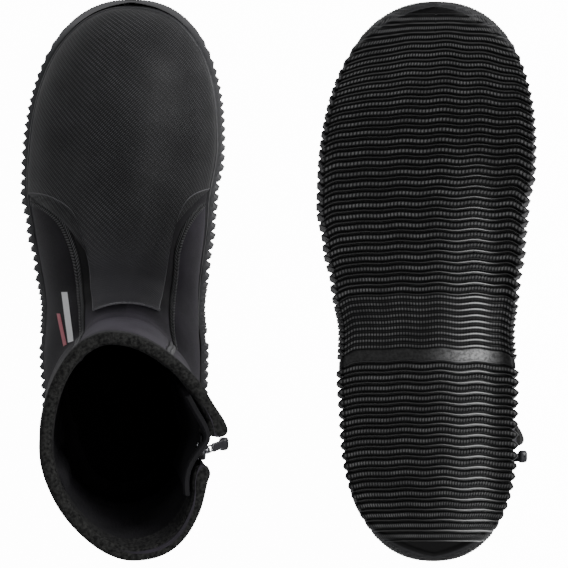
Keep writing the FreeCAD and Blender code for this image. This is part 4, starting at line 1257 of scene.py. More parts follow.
def make_insole():
    """The foam insole: its plan inside the lining, cupped a little at the heel."""
    rows = np.concatenate([[0.0], smooth(np.linspace(0.02, 0.98, 90)), [1.0]])
    y = INSOLE_INSET + (SOLE_LENGTH - 2.0 * INSOLE_INSET - 1.0) * rows
    a, b = (np.array([plan_x(side, v, INSOLE_INSET) for v in y]) for side in (-1, 1))
    b = np.maximum(b, a + 0.4)
    share = (np.linspace(-1.0, 1.0, 46) + 1.0) / 2.0
    yy, x = between(y, a, b, share)
    away = np.minimum(share, 1.0 - share) * (b - a)[:, None]
    lift = 2.2 * np.exp(-(away / 7.0) ** 2) * smooth((110.0 - yy) / 60.0)
    low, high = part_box("left_insole")
    top_z = high.z / MM - 0.2
    base_z = low.z / MM + 0.1
    quilt = 0.12 * np.sin(x * 2 * np.pi / 6.0) * np.sin(yy * 2 * np.pi / 6.0)
    top = np.stack([x, yy, top_z + lift * 0.4 + quilt - rounded_drop(away, 1.2)], -1)
    bottom = np.stack([x, yy, np.full_like(x, base_z)], -1)
    add_closed("insole", *slab_mesh(top, bottom), "insole_foam")


GUSSET_DEPTH = 7.0
GUSSET_LOW_Z = 62.0


def make_gusset():
    """The fold of thin neoprene behind the zip, bound along its upper edge."""
    z = np.linspace(GUSSET_LOW_Z, HEIGHT - 1.6, 150)
    below = np.interp(z, (60.0, SHAFT_HEIGHTS[0]), (SHAFT_PLACES[0] - 90.0, SHAFT_PLACES[0]))
    u = np.where(z < SHAFT_HEIGHTS[0], below, u_at_height(z))
    s = np.linspace(0.0, 1.0, 50)
    front = edge("slot_front", u) + 2.1
    rear = edge("slot_rear", u) - SPANS - 1.25
    uu, v = between(u, front, rear, s)
    fold = 0.7 * np.sin(s * np.pi * 3.0)[None] * smooth((z - 60.0) / 120.0)[:, None]
    depth = GUSSET_DEPTH + fold + 0.25 * np.sin(z / 14.0)[:, None]
    thick = 2.2 + 1.1 * smooth((z - (HEIGHT - 9.0)) / 2.0)[:, None]
    edge_round = rounded_drop(np.minimum(z[-1] - z, 3.0), 1.4)[:, None] * 0.6
    outer = SOFT.at(uu, v, -depth - edge_round)
    inner = SOFT.at(uu, v, -depth - thick + edge_round)
    add_closed("zip_gusset", *slab_mesh(outer, inner), "lining_knit")


# ---------------------------------------------------------------- outsole

SOLE_WALL, SOLE_FLOOR = 3.2, 6.0      # the wall's thickness and the floor's height
WALL_ROWS = 26                        # points up the wall
SIDES_PAD = (WALL_ROWS, WALL_ROWS)
FENCE_PITCH = 1.6                     # of the fine upright ribs round the toe and heel
BEAD_COLUMNS, BEADS = 5, 60           # mesh columns to one bead of a tread rib, and beads across the sole
RIB_DEPTH, SECOND_DEPTH, BEAD_DEPTH = 1.8, 0.75, 0.3     # of a rib, the low rib in its gap, and a bead
TOE_SPRING, SPRING_Y = 3.0, 235.0     # how far the toe lifts off the floor, and from where
WAVE_LONG, WAVE_START = 20.0, 8.6     # the ribs' waves across the sole
# of each part: how many ribs, their pitch, and where it starts; the front's pitch narrows to the toe's
HEEL_RIBS, HEEL_PITCH, HEEL_START = 17, 5.6, 10.4
ARCH_RIBS, ARCH_PITCH, ARCH_START = 9, 3.2, 111.9
FRONT_RIBS, FRONT_PITCH, TOE_PITCH, FRONT_START = 28, 5.62, 4.62, 140.7
# places across one rib and its gap, as shares of the pitch from the middle of the rib
HALF_RIB = np.array([0.1, 0.19, 0.26, 0.31, 0.35, 0.42, 0.46])
HALF_FINE = np.array([0.14, 0.28, 0.4])
RIB_PLACES = np.concatenate([-HALF_RIB[::-1], [0.0], HALF_RIB, [0.5]])
FINE_PLACES = np.concatenate([-HALF_FINE[::-1], [0.0], HALF_FINE, [0.5]])
# y, how far the teeth along the sole's edge stand out
EDGE_TEETH = np.array([
    (0.0, 0.3), (20.0, 0.8), (60.0, 2.7), (100.0, 3.7), (112.0, 3.2), (138.0, 3.2),
    (146.0, 4.1), (188.0, 4.1), (206.0, 2.8), (250.0, 1.8), (280.0, 0.6), (295.0, 0.4),
])
# y, how far back the ribs sweep at the sole's edges
EDGE_SWEEP = np.array([
    (0.0, 0.0), (60.0, 1.0), (100.0, 1.4), (112.0, 3.4),
    (138.0, 3.4), (150.0, 2.2), (200.0, 3.4), (295.0, 0.0),
])
HEEL, ARCH, BAND, FRONT, ENDS = range(5)      # the parts of the sole
HIGHLIGHT_X = 27.5       # the line along the inner side where a highlight is painted on the tread, which is also glossier there


def tip_rows(low, high):
    """Rows over one end of the sole, set out evenly along its edge."""
    y = low + (high - low) * (1.0 - np.cos(np.linspace(0.0, np.pi, 900))) / 2
    x = np.array([plan_x(1, v, 0.0) for v in y])
    run = np.concatenate([[0.0], np.cumsum(np.hypot(np.diff(x), np.diff(y)))])
    return np.interp(np.arange(0.0, run[-1], 0.6), run, y)


def sole_rows():
    """The sole's rows from heel to toe: y, place across their rib, and the part of the sole."""
    found = [(y, 0.5, ENDS) for y in tip_rows(0.0, HEEL_START)]
    for k in range(HEEL_RIBS):
        found += [(HEEL_START + HEEL_PITCH * (k + 0.5 + q), q, HEEL) for q in RIB_PLACES]
    band = np.linspace(HEEL_START + HEEL_RIBS * HEEL_PITCH, ARCH_START, 14)[1:-1]
    found += [(y, 0.5, BAND) for y in band]
    for k in range(ARCH_RIBS):
        found += [(ARCH_START + ARCH_PITCH * (k + 0.5 + q), q, ARCH) for q in FINE_PLACES]
    start = FRONT_START
    for k in range(FRONT_RIBS):
        pitch = FRONT_PITCH + (TOE_PITCH - FRONT_PITCH) * smooth((k - 8.0) / 19.0)
        found += [(start + pitch * (0.5 + q), q, FRONT) for q in RIB_PLACES]
        start += pitch
    found += [(y, 0.5, ENDS) for y in tip_rows(start, SOLE_LENGTH)[1:]]
    found.append((SOLE_LENGTH, 0.5, ENDS))
    rows = np.array(found)
    return rows[:, 0], rows[:, 1], rows[:, 2].astype(int)


def plateau(q, flat, fall):
    """1 within flat of zero, falling smoothly to 0 over fall."""
    return 1.0 - smooth((np.abs(q) - flat) / fall)


def rib_depth(q, kind, share, y, bead):
    """How far the underside is cut in below its ribs' crests."""
    q, kind = q[:, None], kind[:, None]
    beads = np.abs(np.cos(np.pi * bead)) ** 0.7
    side = 1.0 - plateau(q, 0.25, 0.11)
    gap = 0.5 - np.abs(q)
    second = plateau(gap, 0.015, 0.07)
    fades = np.where(y > 141.0, smooth((y - 143.0) / 6.0) * smooth((255.0 - y) / 30.0), 1.0)
    fades = fades * np.where(y > 141.0, smooth((share + 1.15) / 0.7), 1.0)
    main = 0.4 * (np.clip(np.abs(q), 0.0, 0.25) / 0.25) ** 2 + (RIB_DEPTH - 0.4) * side
    main = main - (RIB_DEPTH - SECOND_DEPTH) * second * fades
    main = main + BEAD_DEPTH * (1.0 - beads) * plateau(q, 0.13, 0.1)
    main = main + np.where(kind == HEEL, 0.2 * (1.0 - beads) * second, 0.0)
    fine = 0.55 - 0.55 * np.cos(2.0 * np.pi * q) + 0.3 * (1.0 - beads) * plateau(q, 0.1, 0.2)
    depth = np.where(kind == ARCH, fine, main)
    depth = np.where(kind == BAND, 0.5, depth)
    return np.where(kind == ENDS, 1.2, depth)


def tread_layers(q, kind, bead, x, y, wall):
    """What the sole's paint reads: shares of crest, fine line, painted highlight, wall and band, and the
    bead.
    """
    q, kind = q[:, None], kind[:, None]
    gap = 0.5 - np.abs(q)
    # where a highlight is painted, along the inner side and fading towards the toe; the rubber is glossier
    # there too
    painted_highlight = np.exp(-((x - HIGHLIGHT_X) / np.where(x > HIGHLIGHT_X, 6.0, 15.0)) ** 2) * smooth((235.0 - y) / 90.0)
    painted_highlight = painted_highlight * (kind != ENDS)
    fine_crest = np.maximum(plateau(q, 0.12, 0.22), 0.5 * plateau(gap, 0.04, 0.1))
    ribbed = [kind == ARCH, (kind == HEEL) | (kind == FRONT)]
    crest = np.select(ribbed, [fine_crest, plateau(q, 0.1, 0.12)], 0.0)
    lined = [kind == ARCH, kind == HEEL, kind == FRONT]
    lines = [plateau(q, 0.05, 0.1) * painted_highlight, plateau(gap, 0.035, 0.07), plateau(gap, 0.02, 0.06)]
    line = np.select(lined, lines, 0.0)
    flat = wall <= 0.0
    found = {"crest": crest * flat, "line": line * flat, "painted_highlight": painted_highlight * flat, "wall": wall, "bead": bead,
             "band": (kind == BAND) * flat}
    return {name: np.broadcast_to(values, x.shape) for name, values in found.items()}


def row_shift(y, share, x):
    """How far back a rib lies at each place across: it waves, bows, and sweeps back at the edges."""
    waves = (0.15 + 0.35 * smooth((share + 1.0) / 1.6)) * smooth((0.98 - np.abs(share)) / 0.12)
    wave = waves * np.sin(2.0 * np.pi * (x + WAVE_START) / WAVE_LONG)
    bow = (1.6 + 5.0 * smooth((y - 215.0) / 55.0)) * share ** 2 - 1.0 * share * smooth((y - 120.0) / 60.0)
    edge_sweep = smooth((np.abs(share) - 0.8) / 0.2) ** 1.3
    swept = edge_sweep * np.interp(y, EDGE_SWEEP[:, 0], EDGE_SWEEP[:, 1])
    ends = smooth((SOLE_LENGTH - 3.0 - y) / 24.0) * smooth((y - 5.0) / 40.0)
    return (bow + wave + swept) * ends


class Plan:
    """The sole's centre line and half width at fine steps of y, and how fast the half width changes."""

    def __init__(self):
        self.y = np.linspace(0.0, SOLE_LENGTH, 6001)
        left, right = (np.array([plan_x(side, v, 0.0) for v in self.y]) for side in (-1, 1))
        self.centre, self.half = (left + right) / 2, np.maximum((right - left) / 2, 0.02)
        self.slope = np.gradient(self.half, self.y)

    def at(self, y):
        """Centre, half width and slope at y."""
        return [np.interp(y, self.y, table) for table in (self.centre, self.half, self.slope)]


PLAN_TABLE = Plan()


def end_amount(y):
    """0 along the sole, rising to 1 at its toe and heel ends."""
    return np.clip(smooth((y - 264.0) / 24.0) + smooth((24.0 - y) / 20.0), 0.0, 1.0)


def sole_wall(row_y, foot, low_z, sign):
    """The sole's wall on one side: rows that rise from the foot of the wall to its top, leaning a little."""
    rise = np.linspace(0.0, 1.0, WALL_ROWS + 1)[1:]
    lean_y = np.interp(row_y, (0.0, 110.0, 190.0, 295.0), (0.0, 2.0, 3.0, 0.0))
    lean_y = lean_y * smooth((SOLE_LENGTH - 4.0 - row_y) / 30.0)
    y = np.clip(foot[:, 1, None] - lean_y[:, None] * rise, 0.0, SOLE_LENGTH)
    centre, half, _ = PLAN_TABLE.at(y)
    return np.stack([centre + sign * half, y, low_z + (wall_top(y) - low_z) * rise], -1)


def sole_outside():
    """The outsole's outside as a grid: each row runs down the outer wall, across, and up the inner wall."""
    row_y, q, kind = sole_rows()
    share = np.linspace(-1.0, 1.0, BEAD_COLUMNS * BEADS + 1)
    rough_x = PLAN_TABLE.at(row_y)[1][:, None] * share
    y = row_y[:, None] - row_shift(row_y[:, None], share, rough_x)
    y = np.clip(y, 0.0, SOLE_LENGTH)
    centre, half, slope = PLAN_TABLE.at(y)
    x = centre + half * share
    ends = end_amount(y)
    corner_out, corner_up = 3.4 + 6.6 * ends, 3.4 + 9.6 * ends
    from_edge = half * (1.0 - np.abs(share)) / np.sqrt(1.0 + slope ** 2)
    inside = np.clip(1.0 - from_edge / corner_out, 0.0, 1.0)
    lift = corner_up * (1.0 - np.sqrt(np.clip(1.0 - inside ** 2, 0.0, 1.0)))
    spring = TOE_SPRING * np.clip((y - SPRING_Y) / (SOLE_LENGTH - SPRING_Y), 0.0, 1.0) ** 2
    bead = np.tile(np.arange(len(share)) / BEAD_COLUMNS, (len(row_y), 1))
    depth = rib_depth(q, kind, share[None], y, bead)
    arch = smooth((y - 92.0) / 18.0) * smooth((172.0 - y) / 30.0)
    hollow = arch * (1.6 * smooth((share + 0.1) / 0.95) + 0.9 * np.exp(-((share - 0.84) / 0.07) ** 2))
    flat = 1.0 - smooth(lift / 5.0)
    bottom = np.stack([x, y, lift + spring + (depth * (1.0 - 0.5 * ends) + hollow) * flat], -1)
    low_z = lift + spring
    outer = sole_wall(row_y, bottom[:, 0], low_z[:, :1], -1.0)
    inner = sole_wall(row_y, bottom[:, -1], low_z[:, -1:], 1.0)
    grid = np.concatenate([outer[:, ::-1], bottom, inner], 1)
    rise = np.linspace(0.0, 1.0, WALL_ROWS + 1)[1:]
    across = np.pad(share, WALL_ROWS, mode="edge")[None]
    wall = np.concatenate([rise[::-1], np.zeros(len(share)), rise])[None]
    layers = tread_layers(q, kind, np.pad(bead[:1], ((0, 0), SIDES_PAD)), grid[..., 0], grid[..., 1], wall)
    lift, ends = np.pad(lift, ((0, 0), SIDES_PAD)), np.pad(ends, ((0, 0), SIDES_PAD))
    corner = smooth((lift - 0.8) / 3.0)
    layers["wall"] = np.maximum(layers["wall"], corner * 0.85)
    tiers = plateau((lift * 0.22) % 1.0 - 0.5, 0.28, 0.12)
    layers["crest"] = np.maximum(layers["crest"], corner * tiers * ends)
    return toothed(grid, across, wall, q, kind), layers


def edge_normals(y, across):
    """The sole's outward directions beside each point, on the point's own side of the sole."""
    found = np.zeros(y.shape + (3,))
    for sign in (-1.0, 1.0):
        x = PLAN_TABLE.centre + sign * PLAN_TABLE.half
        tangent = unit(np.stack([np.gradient(x), np.gradient(PLAN_TABLE.y)], -1))
        normal = sign * np.stack([tangent[:, 1], -tangent[:, 0]], -1)
        for k in (0, 1):
            beside = np.interp(y, PLAN_TABLE.y, normal[:, k])
            found[..., k] = np.where(across * sign > 0, beside, found[..., k])
    return found


def tooth_tips(q, kind):
    """How far out the sole's edge stands across each rib, as a share of its teeth."""
    pointed = (1.0 - 2.0 * np.abs(q)) ** 1.15
    rounded = np.sqrt(np.clip(1.0 - (np.abs(q) / 0.42) ** 2.5, 0.0, 1.0))
    parts = [kind == FRONT, kind == ARCH, kind == HEEL]
    return np.select(parts, [pointed, 0.5 + 0.5 * np.cos(2 * np.pi * q), (pointed + rounded) / 2], 0.5)


def toothed(grid, across, wall, q, kind):
    """The grid with the ribs' teeth along the sole's edge, and the fine fence round its toe and heel."""
    y, z = grid[..., 1], grid[..., 2]
    ends = end_amount(y)
    amount = np.interp(y, EDGE_TEETH[:, 0], EDGE_TEETH[:, 1])
    tip = tooth_tips(q, kind)[:, None]
    near_edge = smooth((np.abs(across) - 0.93) / 0.07) * (1.0 - 0.2 * wall)
    teeth = amount * (tip - 0.66) * near_edge * (1.0 - 0.8 * ends)
    edge_run = run_along(np.stack([PLAN_TABLE.centre + PLAN_TABLE.half, PLAN_TABLE.y], 1))
    fence = np.abs(np.cos(np.pi * np.interp(y, PLAN_TABLE.y, edge_run) / FENCE_PITCH)) ** 0.7
    tiers = plateau(((z * 0.135 + 0.35) % 1.0) - 0.5, 0.36, 0.1)
    fence_high = 0.8 * ends * fence * tiers * smooth((z - 1.0) / 2.5) * smooth((30.0 - z) / 2.5)
    lip = 0.3 * plateau(wall - 0.94, 0.035, 0.03)
    return grid + edge_normals(y, across) * (teeth + fence_high + lip)[..., None]


def inner_columns(y, centre, half, slope):
    """The outsole's inside: over the wall's top, down it and across the floor."""
    top = wall_top(y)
    inner = np.clip(half - SOLE_WALL * np.sqrt(1.0 + slope ** 2), 0.0, None)
    open_pit = inner > 1.0
    floor_z = np.where(open_pit, SOLE_FLOOR, top - 0.2)
    inner = np.where(open_pit, inner, 0.3 * half)
    found = []
    for sign in (1.0, -1.0):
        x, outer_x = centre + sign * inner, centre + sign * half
        run = [(0.55 * outer_x + 0.45 * x, top + 0.35), (x, top - 0.1)]
        run += [(x, top + (floor_z - top) * share) for share in (0.3, 0.65, 1.0)]
        run += [(centre + sign * inner * share, floor_z) for share in (0.66, 0.33)]
        found += run if sign > 0 else run[::-1]
    return np.stack([np.stack([x, y, z], -1) for x, z in found], 1)


def end_strips(rows, width):
    """Faces that close the first and last section of a swept loop, joining each one's two halves."""
    found = []
    for row in (0, rows - 1):
        index = np.arange(width) + row * width
        a, b = index[:width // 2], index[::-1][:width // 2]
        strip = np.stack([a[:-1], a[1:], b[1:], b[:-1]], -1)
        found.append(strip if row else strip[:, ::-1])
    return found


def make_outsole():
    """The cup sole as one closed loop of rows: outside, over the walls' tops, and inside."""
    outside, layers = sole_outside()
    y = (outside[:, 0, 1] + outside[:, -1, 1]) / 2
    inside = inner_columns(y, *PLAN_TABLE.at(y))
    section = np.concatenate([outside, inside], 1)
    rows, width = section.shape[:2]
    faces = np.concatenate([grid_faces(rows, width, around=True)] + end_strips(rows, width))
    hidden = np.zeros(inside.shape[:2])
    layers = {name: np.concatenate([values, hidden], 1) for name, values in layers.items()}
    # the inside of the wall's top takes the pale lip colour of the painted highlight
    layers["wall"][:, -inside.shape[1]:] = inside[..., 2] > 20.0
    add_closed("outsole", section.reshape(-1, 3), faces, "sole_rubber", sharp=50.0, layers=layers)


# ---------------------------------------------------------------- zip

ZIP_ORIGIN = ZIP_TOP - OUT * 2.6
TOOTH_START, TOOTH_PITCH, TOOTH_COUNT = 3.2, 3.0, 51
SLIDER_START, SLIDER_LENGTH, SLIDER_WIDTH = 5.5, 13.0, 9.6
SLIDER_WAIST = 0.28       # the share of its width by which the slider narrows
PLATE_LOW = 1.3           # how far the plates' inner faces stand off the zip's middle
HINGE = np.array([12.0, 0.0, 3.55])
PULL_TILT = math.radians(22.0)


def from_zip(local):
    """Points given along, across and out of the zip, in the boot's own frame."""
    local = np.asarray(local, float)
    return ZIP_ORIGIN + local[..., :1] * ALONG + local[..., 1:2] * ACROSS + local[..., 2:] * OUT


def block(low, high, radius, cuts=3):
    """A box between two corners with every edge rounded."""
    low, high = np.array(low, float), np.array(high, float)
    radius = min(radius, float((high - low).min()) / 2 * 0.99)
    middle, half = (low + high) / 2, (high - low) / 2
    rounding = radius * np.tan(np.linspace(0.0, np.pi / 4, cuts + 1))
    inner = half - radius
    lines = [np.concatenate([-reach - rounding[::-1], reach + rounding]) for reach in inner]
    parts = []
    for axis in range(3):
        a, b = (axis + 1) % 3, (axis + 2) % 3
        for sign in (-1.0, 1.0):
            pa, pb = np.meshgrid(lines[a], lines[b], indexing="ij")
            face = np.zeros(pa.shape + (3,))
            face[..., a], face[..., b], face[..., axis] = pa, pb, sign * half[axis]
            core = np.clip(face, -inner, inner)
            face = core + radius * unit(face - core)
            parts.append((face.reshape(-1, 3) + middle, grid_faces(*pa.shape, flip=sign < 0)))
    return merge(parts)


def flipped(mesh, factors):
    """A mesh mirrored by one negative factor, its faces turned round to match."""
    points, faces = mesh
    return points * np.array(factors), faces[:, ::-1]


def zip_pair(name, parts, slot, body="boot"):
    """A piece made of parts given along, across and out of the zip, on both boots."""
    points, faces = merge(parts)
    handed = np.linalg.det(np.stack([ALONG, ACROSS, OUT]))
    add_pair(name, from_zip(points), faces if handed > 0 else faces[:, ::-1], slot, body=body, sharp=50.0)


def tape_mesh(sign):
    """A zip tape with its woven ribs and the thicker cord along its inner edge."""
    run = np.arange(0.4, 162.7, 0.45)
    across = np.concatenate([np.linspace(1.4, 2.6, 7), np.linspace(2.8, 8.6, 16)])
    r, a = np.meshgrid(run, across, indexing="ij")
    rib = 0.07 * np.abs(np.sin(np.pi * r / 0.9)) + 0.05 * np.abs(np.sin(np.pi * a / 0.8))
    cord = 0.42 * np.sqrt(np.clip(1.0 - ((a - 2.0) / 0.62) ** 2, 0.0, 1.0))
    half = 0.34 + rib + cord
    return closed(slab_mesh(*(np.stack([r, sign * a, turn * half], -1) for turn in (1, -1))))


def tooth(place, sign, shift):
    """A moulded tooth: a foot clamped on the tape's cord and a rounded head across the middle."""
    start = TOOTH_START + place * TOOTH_PITCH + shift
    foot = block((start - 0.15, 0.55, -1.0), (start + 1.45, 2.75, 1.0), 0.38, 2)
    head = block((start - 0.3, -1.05, -0.72), (start + 1.6, 0.75, 0.72), 0.5, 2)
    ridge = block((start + 0.25, 0.1, 0.85), (start + 1.05, 2.2, 1.2), 0.17, 1)
    made = merge([foot, head, ridge])
    return made if sign > 0 else flipped(made, (1.0, -1.0, 1.0))


def make_zip():
    """The zip's two tapes with their teeth, its stops, its slider and its pull."""
    for side, sign, shift in (("front", 1.0, 0.0), ("rear", -1.0, TOOTH_PITCH / 2)):
        zip_pair("zip_tape_" + side, [tape_mesh(sign)], "zip_tape")
        teeth = [tooth(k, sign, shift) for k in range(TOOTH_COUNT)]
        zip_pair("zip_teeth_" + side, teeth, "zip_plastic")
    tops = [block((0.7, 0.7, -1.2), (2.7, 3.1, 1.3), 0.45), block((0.7, -3.1, -1.2), (2.7, -0.7, 1.3), 0.45)]
    zip_pair("zip_top_stops", tops, "zip_plastic")
    end = TOOTH_START + TOOTH_COUNT * TOOTH_PITCH + 2.6
    foot = block((end, -3.0, -1.3), (end + 2.6, 3.0, 1.4), 0.6)
    crown = block((end + 0.6, -2.0, 1.2), (end + 2.0, 2.0, 1.75), 0.3)
    zip_pair("zip_bottom_stop", [foot, crown], "zip_plastic")
    make_slider()
    make_pull()


def plate(high, dome):
    """One of the slider's plates: broad at its mouth, drawn in towards its tail, softly domed."""
    t = np.linspace(0.0, 1.0, 26)[:, None]
    s = np.linspace(-1.0, 1.0, 21)[None]
    corners = np.sqrt(np.clip(1.0 - (2 * t - 1) ** 14, 0.05, 1))
    half = SLIDER_WIDTH / 2 * (1.0 - SLIDER_WAIST * smooth((t - 0.15) / 0.75)) * corners
    ends = 1.0 - np.abs(2.0 * t - 1.0) ** 6
    round_edge = np.sqrt(np.clip(1.0 - np.abs(s) ** 8, 0.0, 1.0))
    rise = (high - PLATE_LOW) * (0.45 + 0.55 * round_edge * np.sqrt(ends.clip(0, 1)))
    rise = rise + dome * (1 - s ** 2) * ends
    x = SLIDER_START + SLIDER_LENGTH * t + 0 * s
    return closed(slab_mesh(*(np.stack([x, half * s, PLATE_LOW + up], -1) for up in (rise, 0 * rise))))


def make_slider():
    """The slider: two plates with turned-in lips, a wedge between them and the arch for the pull."""
    start = SLIDER_START + 0.6
    lips = [block((start, 3.7, 0.6), (start + 8.4, 4.75, 1.6), 0.4),
            block((start, 3.7, -1.6), (start + 8.4, 4.75, -0.7), 0.35)]
    parts = [plate(2.7, 0.35), flipped(plate(2.2, 0.1), (1.0, 1.0, -1.0))]
    parts += [flipped(lip, (1.0, -1.0, 1.0)) for lip in lips] + lips
    parts.append(block((start - 0.2, -0.8, -1.5), (start + 2.6, 0.8, 1.5), 0.4))
    parts.append(lug_arch(SLIDER_START + SLIDER_LENGTH / 2))
    zip_pair("zip_slider", parts, "slider_metal", body="slider")


def swept(path, side, up, half_wide, half_thick, turns=12):
    """An oval tube along a path, given its sideways and upward directions."""
    ring = np.linspace(0.0, 2.0 * np.pi, turns, endpoint=False)[None, :, None]
    tube = path[:, None] + side[:, None] * half_wide * np.cos(ring) + up[:, None] * half_thick * np.sin(ring)
    return closed((tube.reshape(-1, 3), grid_faces(len(path), turns, around=True)))


def lug_arch(middle):
    """The arch on the slider's back that carries the pull."""
    t = np.linspace(0.0, 1.0, 25)
    x = middle - 3.4 * np.cos(np.pi * t)
    path = np.stack([x, 0 * x, 2.55 + 2.35 * np.sin(np.pi * t) ** 0.6], -1)
    side = np.tile([0.0, 1.0, 0.0], (len(t), 1))
    return swept(path, side, np.cross(unit(np.gradient(path, axis=0)), side), 1.25, 0.5)


def wire(path, radius):
    """A round wire along a path."""
    path = np.asarray(path, float)
    along = unit(np.gradient(path, axis=0))
    side = unit(np.cross(along, np.array([0.02, 0.03, 1.0])))
    return swept(path, side, np.cross(side, along), radius, radius)


def pull_frame(mesh):
    """Tilts the pull's own points out about its hinge on the slider."""
    points, faces = mesh
    c, s = math.cos(PULL_TILT), math.sin(PULL_TILT)
    p = points - HINGE
    return HINGE + np.stack([p[:, 0] * c - p[:, 2] * s, p[:, 1], p[:, 0] * s + p[:, 2] * c], -1), faces


def make_pull():
    """The pull: a wire link hinged on the slider, and the moulded grip clasped to it."""
    arm = HINGE + np.array([(9.6, 0.9, 0.0), (6.0, 1.7, 0.0), (2.0, 1.75, 0.0), (0.2, 1.75, 0.0)])
    arms = [wire(spread(arm * (1.0, sign, 1.0)), 0.52) for sign in (1.0, -1.0)]
    pin = wire([HINGE + (0.0, y, 0.0) for y in (-1.9, -0.6, 0.6, 1.9)], 0.5)
    clasp = block((20.6, -2.0, 2.75), (23.2, 2.0, 4.35), 0.6)
    zip_pair("pull_link", [pull_frame(merge(arms + [pin, clasp]))], "link_steel", body="pull")
    zip_pair("pull_tab", [pull_frame(tab_bar())], "pull_rubber", body="pull")


def spread(points, count=24):
    """A smooth line through points."""
    points = np.array(points, float)
    bends = spline_bends(points, np.ones(len(points) - 1), False)
    q = np.linspace(0.0, len(points) - 1.0, count)
    i = np.clip(q.astype(int), 0, len(points) - 2)
    return spline_at(points[i], points[i + 1], bends[i], bends[i + 1], q - i)


def tab_bar():
    """The moulded pull: a grooved bar that swells into a knob."""
    x = np.linspace(22.0, 43.0, 90)
    x = x[:, None]
    knob = smooth((x - 36.6) / 1.8) * smooth((43.6 - x) / 1.2)
    half_wide = 2.3 + 1.2 * knob + 0.25 * smooth((25.5 - x) / 2.5)
    half_thick = 1.25 + 1.05 * knob
    grip = 0.18 * np.where((x > 26.0) & (x < 36.0), np.abs(np.sin(np.pi * (x - 26.0) / 1.65)), 0.0)
    close = np.sqrt(np.clip(1.0 - ((x - 32.5) / 10.52) ** 18, 0.0, 1.0))
    turn = np.linspace(0.0, 2.0 * np.pi, 40, endpoint=False)
    squared = [np.sign(c) * np.abs(c) ** (2.0 / 3.6) for c in (np.cos(turn), np.sin(turn))]
    y = half_wide * close * squared[0]
    z = HINGE[2] + (half_thick - grip) * close * squared[1]
    tube = np.stack([x + 0 * y, y, z], -1)
    return closed((tube.reshape(-1, 3), grid_faces(len(x), len(turn), around=True)))


# ---------------------------------------------------------------- materials


class Paint:
    """A node material, put together step by step. Places are in metres in the row's frame."""

    def __init__(self, name):
        self.material = bpy.data.materials.new(name)
        self.material.use_nodes = True
        self.tree = self.material.node_tree
        self.shader = self.tree.nodes["Principled BSDF"]
        self.place = self.node("ShaderNodeTexCoord").outputs["Object"]
        self.bumped = None

    def node(self, kind, **values):
        made = self.tree.nodes.new(kind)
        for key, value in values.items():
            if key in made.inputs:
                self.wire(value, made.inputs[key])
            else:
                setattr(made, key, value)
        return made

    def wire(self, value, socket):
        if isinstance(value, bpy.types.NodeSocket):
            self.tree.links.new(value, socket)
        else:
            socket.default_value = value

    def set(self, **values):
        for key, value in values.items():
            self.wire(value, self.shader.inputs[key.replace("_", " ")])

    def noise(self, scale, detail=3.0, roughness=0.55, stretch=None):
        made = self.node("ShaderNodeTexNoise", Scale=scale, Detail=detail, Roughness=roughness)
        self.wire(self.place if stretch is None else self.stretched(stretch), made.inputs["Vector"])
        return made.outputs["Fac"]

    def stretched(self, scale=(1, 1, 1), turn=(0, 0, 0)):
        made = self.node("ShaderNodeMapping", Vector=self.place)
        made.inputs["Scale"].default_value = scale
        made.inputs["Rotation"].default_value = turn
        return made.outputs["Vector"]

    def wave(self, pitch, turn=(0, 0, 0)):
        """Parallel bands, pitch metres apart."""
        made = self.node("ShaderNodeTexWave", Vector=self.stretched(turn=turn), Scale=0.314159 / pitch)
        return made.outputs["Fac"]

    def ramp(self, value, low, high, a=0.0, b=1.0):
        made = self.node("ShaderNodeMapRange", Value=value)
        for key, number in (("From Min", low), ("From Max", high), ("To Min", a), ("To Max", b)):
            made.inputs[key].default_value = number
        return made.outputs["Result"]

    def mix(self, share, a, b):
        made = self.node("ShaderNodeMix", data_type="RGBA")
        self.wire(share, made.inputs[0])
        self.wire(a, made.inputs[6])
        self.wire(b, made.inputs[7])
        return made.outputs[2]

    def math(self, operation, a, b=0.0):
        made = self.node("ShaderNodeMath", operation=operation)
        self.wire(a, made.inputs[0])
        self.wire(b, made.inputs[1])
        return made.outputs[0]

    def times(self, a, b):
        return self.math("MULTIPLY", a, b)

    def layer(self, name):
        """One of the values that the piece's points carry."""
        return self.node("ShaderNodeAttribute", attribute_name=name).outputs["Fac"]

    def bump(self, height, distance, strength=1.0):
        made = self.node("ShaderNodeBump", Height=height, Distance=distance, Strength=strength)
        if self.bumped is not None:
            self.tree.links.new(self.bumped, made.inputs["Normal"])
        self.bumped = made.outputs["Normal"]
        self.tree.links.new(self.bumped, self.shader.inputs["Normal"])


def gray(red, green=None, blue=None):
    """A colour with its alpha, a neutral grey if only one number is given."""
    green = red if green is None else green
    blue = red if blue is None else blue
    return (red, green, blue, 1.0)


def shaded(colour, factor):
    return gray(*[part * factor for part in colour[:3]])


def weave(paint, pitch):
    """A plain weave's height, from two crossing sets of threads."""
    a = paint.wave(pitch)
    b = paint.wave(pitch, turn=(0.0, 0.0, math.pi / 2))
    c = paint.wave(pitch, turn=(0.0, math.pi / 2, 0.0))
    return paint.math("MAXIMUM", paint.times(a, b), paint.times(a, c))


def jersey(name, dark, light, sheen, pitch, roughness=0.62):
    """Knitted cloth laminated on foam."""
    paint = Paint(name)
    mottle = paint.noise(55.0, 4.0)
    fine = paint.noise(1900.0, 2.0)
    tone = paint.mix(paint.ramp(mottle, 0.3, 0.7), dark, light)
    paint.set(Base_Color=paint.mix(paint.times(fine, 0.35), tone, light))
    paint.set(Roughness=paint.ramp(fine, 0.3, 0.7, roughness - 0.08, roughness + 0.1))
    paint.set(Sheen_Weight=sheen, Sheen_Roughness=0.4, Sheen_Tint=gray(0.62, 0.58, 0.7))
    paint.set(Specular_IOR_Level=0.22)
    paint.bump(weave(paint, pitch), 0.00012, 0.5)
    paint.bump(fine, 0.0001, 0.35)
    return paint


